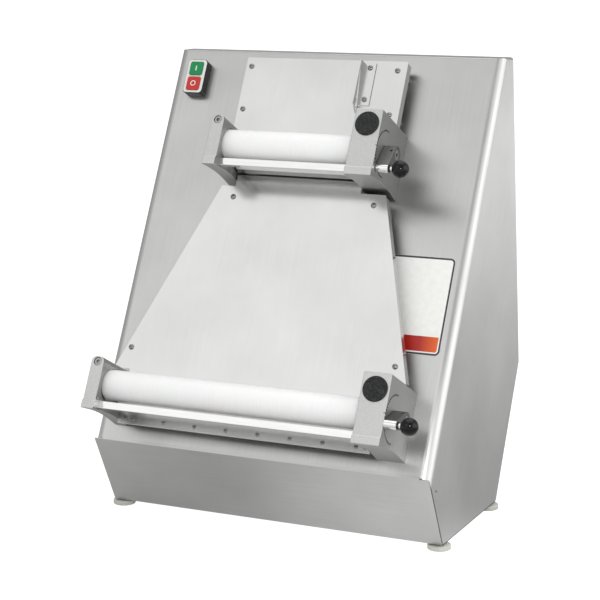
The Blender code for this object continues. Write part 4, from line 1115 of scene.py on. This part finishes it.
@dataclass
class RollerStage(Screws):
    """One pair of rollers with its castings, scrapers, lever and plunger, named upper or lower."""

    # The turned parts that keep their CAD shape, by slot
    ROUND: ClassVar[dict[str, tuple[str, ...]]] = {
        "machined_steel": ("bracket_screw", "eccentric_axle", "rear_shaft", "driven_pulley", "left_bearing",
                           "right_bearing"),
        "polished_steel": ("index_pin",),
        "matt_black_plastic": ("plunger_sleeve",),
        "black_belt_rubber": ("drive_belt",),
    }

    name: str
    roller_edge: float = 0.0015
    front_bore: float = 0.0119
    rear_bore: float = 0.0095
    roller_steps: int = 96
    cap_edge: float = 0.0009
    cap_rim: float = 0.0016
    cap_spigot: float = 0.0150
    cap_steps: int = 72
    groove_reach: float = 0.0165
    groove_depth: float = 0.0005
    grooves: int = 6
    groove_steps: int = 8
    ball_bore: float = 0.0038
    ball_flat: float = 0.0050
    ball_depth: float = 0.0060
    ball_steps: int = 64
    # The cosine to the panel's normal from which a casting's face keeps its lit colour; the faces below it
    # take a painted shade
    lit_face_cosine: float = 0.6
    # The arc of index holes: its radius, half its breadth, and how far under the outer side it lies
    index_reach: float = 0.036
    index_band: float = 0.0022
    index_skin: float = 0.0002
    index_depth: float = 0.0035
    # The lever's bright tip: its radius, and how much its faces may look along its axis, as a cosine
    lever_tip: float = 0.0074
    lever_side: float = 0.5
    bar_pitch: float = 0.054
    bar_first: float = -0.2035
    bar_row: int = 8
    bar_ends: Pair = (-0.2165, 0.1895)
    bar_up: float = 0.0295
    bar_face: float = 0.0341

    def __post_init__(self) -> None:
        """Finds the lever's pivot."""
        super().__post_init__()
        self.pivot = pivot_of(self.frame["joints"], self.name)

    def build(self) -> None:
        """Builds the stage's pieces."""
        self.casting(self.node("left_bracket"))
        self.casting(self.node("right_housing"))
        self.lever()
        self.look(self.node("front_scraper"), "polished_steel", grain=ACROSS)
        self.look(self.node("rear_scraper"), "brushed_stainless", grain=ACROSS, finish=BrightSheet())
        for slot, parts in self.ROUND.items():
            for part in parts:
                self.look(self.node(part), slot, Edges.TURNED)
        self.roller(self.node("front_roller"), self.front_bore)
        self.roller(self.node("rear_roller"), self.rear_bore)
        self.cap()
        self.ball()
        if self.name == "lower":
            self.bar_screws()

    def node(self, part: str) -> str:
        """Gives the name of one of the stage's nodes."""
        return f"{self.name}_{part}"

    def casting(self, node: str) -> None:
        """Builds a casting, its flanks darkened as painted shade and its index holes, where it has them,
        painted dark as shade.

        Only the faces that look out from the panel keep the lit colour; the others take a darker copy of it
        as painted shade. The holes' faces lie just under the outer side, within an arc's breadth of the
        lever's pivot.

        Args:
            node: The casting's node.
        """
        mesh = self.look(node, "satin_cast_aluminium", Edges.CASTING)
        middle, normal = faces(mesh)
        # Faces turned away from the panel's normal take a darker copy of the casting's finish: painted shade
        painted_flank_shade = normal @ np.array(self.panel.out) < self.lit_face_cosine
        pivot = np.array(self.pivot)
        reach = np.linalg.norm(middle[:, 1:] - pivot[1:], axis=1)
        # The faces inside the index holes are painted near black as shade
        under = pivot[0] - middle[:, 0]
        inside = (under > self.index_skin) & (under < self.index_depth)
        inside &= np.abs(reach - self.index_reach) < self.index_band
        self.palette.dress(mesh, FlankShadeAluminium(), painted_flank_shade)
        self.palette.dress(mesh, BoreShade(), inside)

    def lever(self) -> None:
        """Builds the lever arm: grey forged steel whose round tip is turned bright about the index pin."""
        mesh = self.look(self.node("lever_arm"), "satin_cast_aluminium", Edges.CASTING, finish=OiledSteel())
        spot = np.array(measure(self.node("index_pin"))[2])
        middle, normal = faces(mesh)
        tip = np.linalg.norm(middle[:, 1:] - spot[1:], axis=1) < self.lever_tip
        self.palette.dress(mesh, PolishedSteel(), tip & (np.abs(normal[:, 0]) < self.lever_side))

    def roller(self, node: str, bore: float) -> None:
        """Turns a roller as a round tube with eased ends, in place of its CAD node.

        Args:
            node: The roller's node.
            bore: The radius of its bore.
        """
        low, high, middle = measure(node)
        radius, length, edge = (high.y - low.y) / 2, high.x - low.x, self.roller_edge
        profile = [(bore, length), quarter(radius, length, edge, True), quarter(radius, 0, edge, False),
                   (bore, 0)]
        origin = Vector((low.x, middle.y, middle.z))
        piece = turned(node + "_look", profile, origin, ACROSS, self.roller_steps, True)
        self.keep(piece, "white_roller_plastic", node)

    def cap(self) -> None:
        """Turns the housing's cap with a rounded rim and turned rings, in place of its CAD node.

        The face's height at radius r is H - (g / 2) (1 - cos(2 pi n r / R)), for n rings of depth g
        within the radius R.
        """
        node = self.node("housing_cap")
        low, high, middle = self.panel.measure(self.nodes[node])
        radius, height = (high.x - low.x) / 2, high.z - low.z
        across = np.linspace(0, self.groove_reach, self.grooves * self.groove_steps + 1)
        wave = 1 - np.cos(2 * math.pi * self.grooves * across / self.groove_reach)
        face = np.stack([across, height - self.groove_depth / 2 * wave], 1)
        seat = height - self.cap_rim
        profile = [face, quarter(radius, height, self.cap_edge, True), (radius, seat),
                   (self.cap_spigot, seat), (self.cap_spigot, 0), (0, 0)]
        origin = self.panel.at(middle.x, middle.y, low.z)
        piece = turned(node + "_look", profile, origin, self.panel.out, self.cap_steps)
        self.keep(piece, "matt_black_plastic", node)

    def ball(self) -> None:
        """Turns the ball knob: a sphere with a flat round the stem's bore, in place of its CAD node."""
        node = self.node("ball_knob")
        low, high, middle = measure(node)
        radius = (high.y - low.y) / 2
        stop = math.asin(self.ball_flat / radius) - math.pi / 2
        turn = np.linspace(math.pi / 2, stop, self.ball_steps // 2 + 1)
        sphere = radius * np.stack([np.cos(turn), np.sin(turn)], 1)
        sphere[0, 0] = 0
        flat = sphere[-1, 1]
        bottom = flat + self.ball_depth
        profile = [sphere, (self.ball_bore, flat), (self.ball_bore, bottom), (0, bottom)]
        origin = Vector((high.x - radius, middle.y, middle.z))
        piece = turned(node + "_look", profile, origin, ACROSS, self.ball_steps)
        self.keep(piece, "glossy_black_phenolic", node)

    def bar_screws(self) -> None:
        """Sets the row of small screws on the lower scraper bar."""
        row = [self.bar_first + step * self.bar_pitch for step in range(self.bar_row)]
        for index, x in enumerate([*row, *self.bar_ends]):
            spot = self.panel.at(x, self.bar_up, self.bar_face)
            self.screw(f"scraper_bar_screw_{index}", spot, self.panel.out, BAR_SCREW)


@dataclass
class Switch(Assembly):
    """Push-button switch: housing, bezel, two buttons and their plain marks."""

    bar: Triple = (0.0016, 0.0085, 0.0003)
    bar_corner: float = 0.0006
    bar_edge: float = 0.0001
    ring: Pair = (0.0034, 0.0046)
    ring_height: float = 0.0003
    ring_steps: int = 48
    rise: float = 0.0001

    def build(self) -> None:
        """Builds the switch."""
        self.look("switch_housing", "matt_black_plastic", Edges.TURNED)
        for node, slot in (("switch_bezel", "white_bezel_plastic"), ("start_button", "green_button_plastic"),
                           ("stop_button", "red_button_plastic")):
            self.look(node, slot, Edges.CASTING)
        self.marks()

    def face(self, node: str) -> PanelFrame:
        """Gives the frame on the middle of a button's face."""
        _, high, middle = self.panel.measure(self.nodes[node])
        return self.panel.shifted(middle.x, middle.y, high.z + self.rise)

    def marks(self) -> None:
        """Puts a bar on the start button and a ring on the stop button."""
        bar = plate("start_mark_bar", self.face("start_button"), self.bar, self.bar_corner, self.bar_edge)
        self.keep(bar, "white_bezel_plastic", finish=MarkInk(), body="start_button_body")
        (inner, outer), top = self.ring, self.ring_height
        spot = self.face("stop_button")
        profile = [(inner, 0), (inner, top), (outer, top), (outer, 0)]
        ring = turned("stop_mark_ring", profile, spot.origin, spot.out, self.ring_steps, True)
        self.keep(ring, "white_bezel_plastic", finish=MarkInk(), body="stop_button_body")


@dataclass
class Feet(Assembly):
    """Four turned rubber feet with rounded pads, in place of their CAD nodes."""

    edge: float = 0.0014
    pad: float = 0.0075
    stem: float = 0.007
    steps: int = 48

    def build(self) -> None:
        """Builds the feet."""
        for corner in ("front_left", "front_right", "rear_left", "rear_right"):
            node = f"foot_{corner}"
            low, high, middle = measure(node)
            radius = (high.x - low.x) / 2
            profile = [(0, high.z), (self.stem, high.z), (self.stem, self.pad),
                       quarter(radius, self.pad, self.edge, True), quarter(radius, 0, self.edge, False),
                       (0, 0)]
            piece = turned(node + "_look", profile, Vector((middle.x, middle.y, 0)), UPRIGHT, self.steps)
            self.keep(piece, "grey_foot_rubber", node)


class InnerDrive(Assembly):
    """Motor, brackets and drive shaft inside the casing, shown with their CAD meshes."""

    PARTS: ClassVar[dict[str, tuple[str, ...]]] = {
        "grey_machine_paint": ("motor", "gearbox", "motor_bracket", "shaft_bracket", "control_box"),
        "machined_steel": ("drive_shaft", "lower_drive_pulley", "upper_drive_pulley"),
    }

    def build(self) -> None:
        """Gives each CAD node the finish of its slot."""
        for slot, nodes in self.PARTS.items():
            for node in nodes:
                self.palette.dress(self.nodes[node].data, Palette.SLOTS[slot])
                LOG.info("%s keeps its CAD mesh", node)


# Studio and camera


@dataclass(frozen=True)
class Glow:
    """A soft bright area of the surroundings.

    Attributes:
        way: The direction of its middle.
        inner: The cosine of the angle within which it is full.
        outer: The cosine of the angle at which it ends.
        strength: What it adds.
    """

    way: Triple
    inner: float
    outer: float
    strength: float


@dataclass
class Studio:
    """White floor, pale surroundings and one soft box.

    Attributes:
        palette: The materials.
        centre: The middle of the machine.
        white: How bright the surroundings are where they are seen straight on.
        base: How bright they are elsewhere, between the glows.
    """

    palette: Palette
    centre: Vector
    floor_radius: float = 40.0
    floor_rings: int = 24
    floor_steps: int = 96
    white: float = 1.05
    base: float = 0.42
    glows: tuple[Glow, ...] = (
        Glow((-0.36, -0.80, 0.45), 1.0, 0.20, 0.25),
        Glow((-0.36, -0.78, 0.48), 1.0, 0.84, 0.55),
        Glow((0.97, 0.08, 0.22), 1.0, 0.66, 1.65),
        Glow((0.0, 0.20, 0.98), 0.95, 0.75, 1.3))
    box_spot: Triple = (0.95, -1.55, 0.95)
    box_size: float = 0.32
    box_power: float = 6.0

    def build(self) -> None:
        """Builds the studio."""
        self.floor()
        self.surroundings()
        self.soft_box()

    def floor(self) -> None:
        """Lays a round floor whose rings are at radius R (k / n) squared, so they are close in the middle."""
        share = np.linspace(0, 1, self.floor_rings) ** 2 * self.floor_radius
        angle = np.linspace(0, 2 * math.pi, self.floor_steps, endpoint=False)[:, None]
        grid = np.stack([share * np.cos(angle), share * np.sin(angle), np.zeros_like(share * angle)], -1)
        made = surface("studio_floor", grid)
        if made.data.polygons[0].normal.z < 0:
            made.data.flip_normals()
        self.palette.dress(made.data, FloorPaper())
        made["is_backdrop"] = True

    def surroundings(self) -> None:
        """Lights the scene from a grey sphere with soft bright areas; seen straight on it is white.

        A direction d has the base strength plus, for each glow, its own strength times a smooth step of
        the cosine d . way from outer to inner.
        """
        world = bpy.data.worlds.new("studio_surroundings")
        bpy.context.scene.world = world
        world.use_nodes = True
        tree = world.node_tree
        tree.nodes.clear()
        way = add_node(tree, "TexCoord").outputs["Generated"]
        total = self.base
        for glow in self.glows:
            cosine = add_node(tree, "VectorMath", {0: way, 1: Vector(glow.way).normalized()},
                              operation="DOT_PRODUCT")
            step = add_node(tree, "MapRange", {
                "Value": cosine, "From Min": glow.outer, "From Max": glow.inner, "To Max": glow.strength},
                interpolation_type="SMOOTHSTEP")
            total = add_node(tree, "Math", {0: step, 1: total}, operation="ADD")
        seen = add_node(tree, "LightPath").outputs["Is Camera Ray"]
        shown = add_node(tree, "Mix", {0: seen, 2: total, 3: self.white})
        light = add_node(tree, "Background", {"Color": linear("FFFFFF"), "Strength": shown})
        add_node(tree, "OutputWorld", {"Surface": light})

    def soft_box(self) -> None:
        """Hangs a square soft box that faces the machine."""
        light = bpy.data.lights.new("key_window", "AREA")
        light.shape = "SQUARE"
        light.size = self.box_size
        light.energy = self.box_power
        box = link("key_window", light)
        box.location = self.box_spot
        box.visible_camera = False
        box.rotation_euler = (box.location - self.centre).to_track_quat("Z", "Y").to_euler()


@dataclass
class Camera:
    """Camera at the photo's viewpoint, as fitted to the casing's corners.

    Its angles are in degrees, and its lens and sensor in millimetres.
    """

    azimuth: float = 24.8
    elevation: float = 11.1
    lens: float = 109.64
    sensor: float = 36.0
    distance: float = 2.9212
    aim_left: float = 0.0091
    aim_height: float = 0.3407
    sight: float = 200.0

    def build(self) -> None:
        """Sets the camera up; it looks past the middle of the casing."""
        aim = Vector((measure("casing_shell")[2].x - self.aim_left, measure("base_plate")[2].y,
                      self.aim_height))
        turn, rise = math.radians(self.azimuth), math.radians(self.elevation)
        back = Vector((math.sin(turn) * math.cos(rise), -math.cos(turn) * math.cos(rise), math.sin(rise)))
        data = bpy.data.cameras.new("photo_camera")
        data.lens = self.lens
        data.sensor_width = self.sensor
        data.clip_end = self.sight
        camera = link("photo_camera", data)
        camera.location = aim + back * self.distance
        camera.rotation_euler = back.to_track_quat("Z", "Y").to_euler()
        bpy.context.scene.camera = camera
        LOG.info("camera set")


def pivot_of(joints: list[dict], stage: str) -> Vector:
    """Gives the place of a stage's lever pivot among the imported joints."""
    return Vector(next(joint for joint in joints if joint["name"] == stage + "_gap_lever")["pos_m"])


def panel_frame(joints: list[dict]) -> PanelFrame:
    """Finds the panel's frame from the switch's and the lower lever's joints.

    Args:
        joints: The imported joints.

    Returns:
        The frame, whose origin is in the panel's lower edge, in the casing's middle plane.
    """
    press = next(joint for joint in joints if joint["name"] == "start_button_press")
    out = -Vector(press["axis"]).normalized()
    up = out.cross(ACROSS).normalized()
    origin = pivot_of(joints, "lower") - up * PIVOT_PLACE[0] - out * PIVOT_PLACE[1]
    origin.x = measure("casing_shell")[2].x
    return PanelFrame(origin, up, out)


def main() -> None:
    """Builds the whole look in order."""
    logging.basicConfig(level=logging.INFO, format="%(message)s")
    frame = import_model()
    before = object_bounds()
    bpy.context.scene.view_settings.view_transform = "Standard"
    palette = Palette()
    shared = (frame, panel_frame(frame["joints"]), palette)
    assemblies = [Casing(*shared), Plates(*shared), RollerStage(*shared, "lower"),
                  RollerStage(*shared, "upper"), Switch(*shared), Feet(*shared), InnerDrive(*shared),
                  Studio(palette, (before[0] + before[1]) / 2), Camera()]
    for assembly in assemblies:
        LOG.info("building %s", type(assembly).__name__)
        assembly.build()
    bpy.context.view_layer.update()


if __name__ == "__main__":
    main()
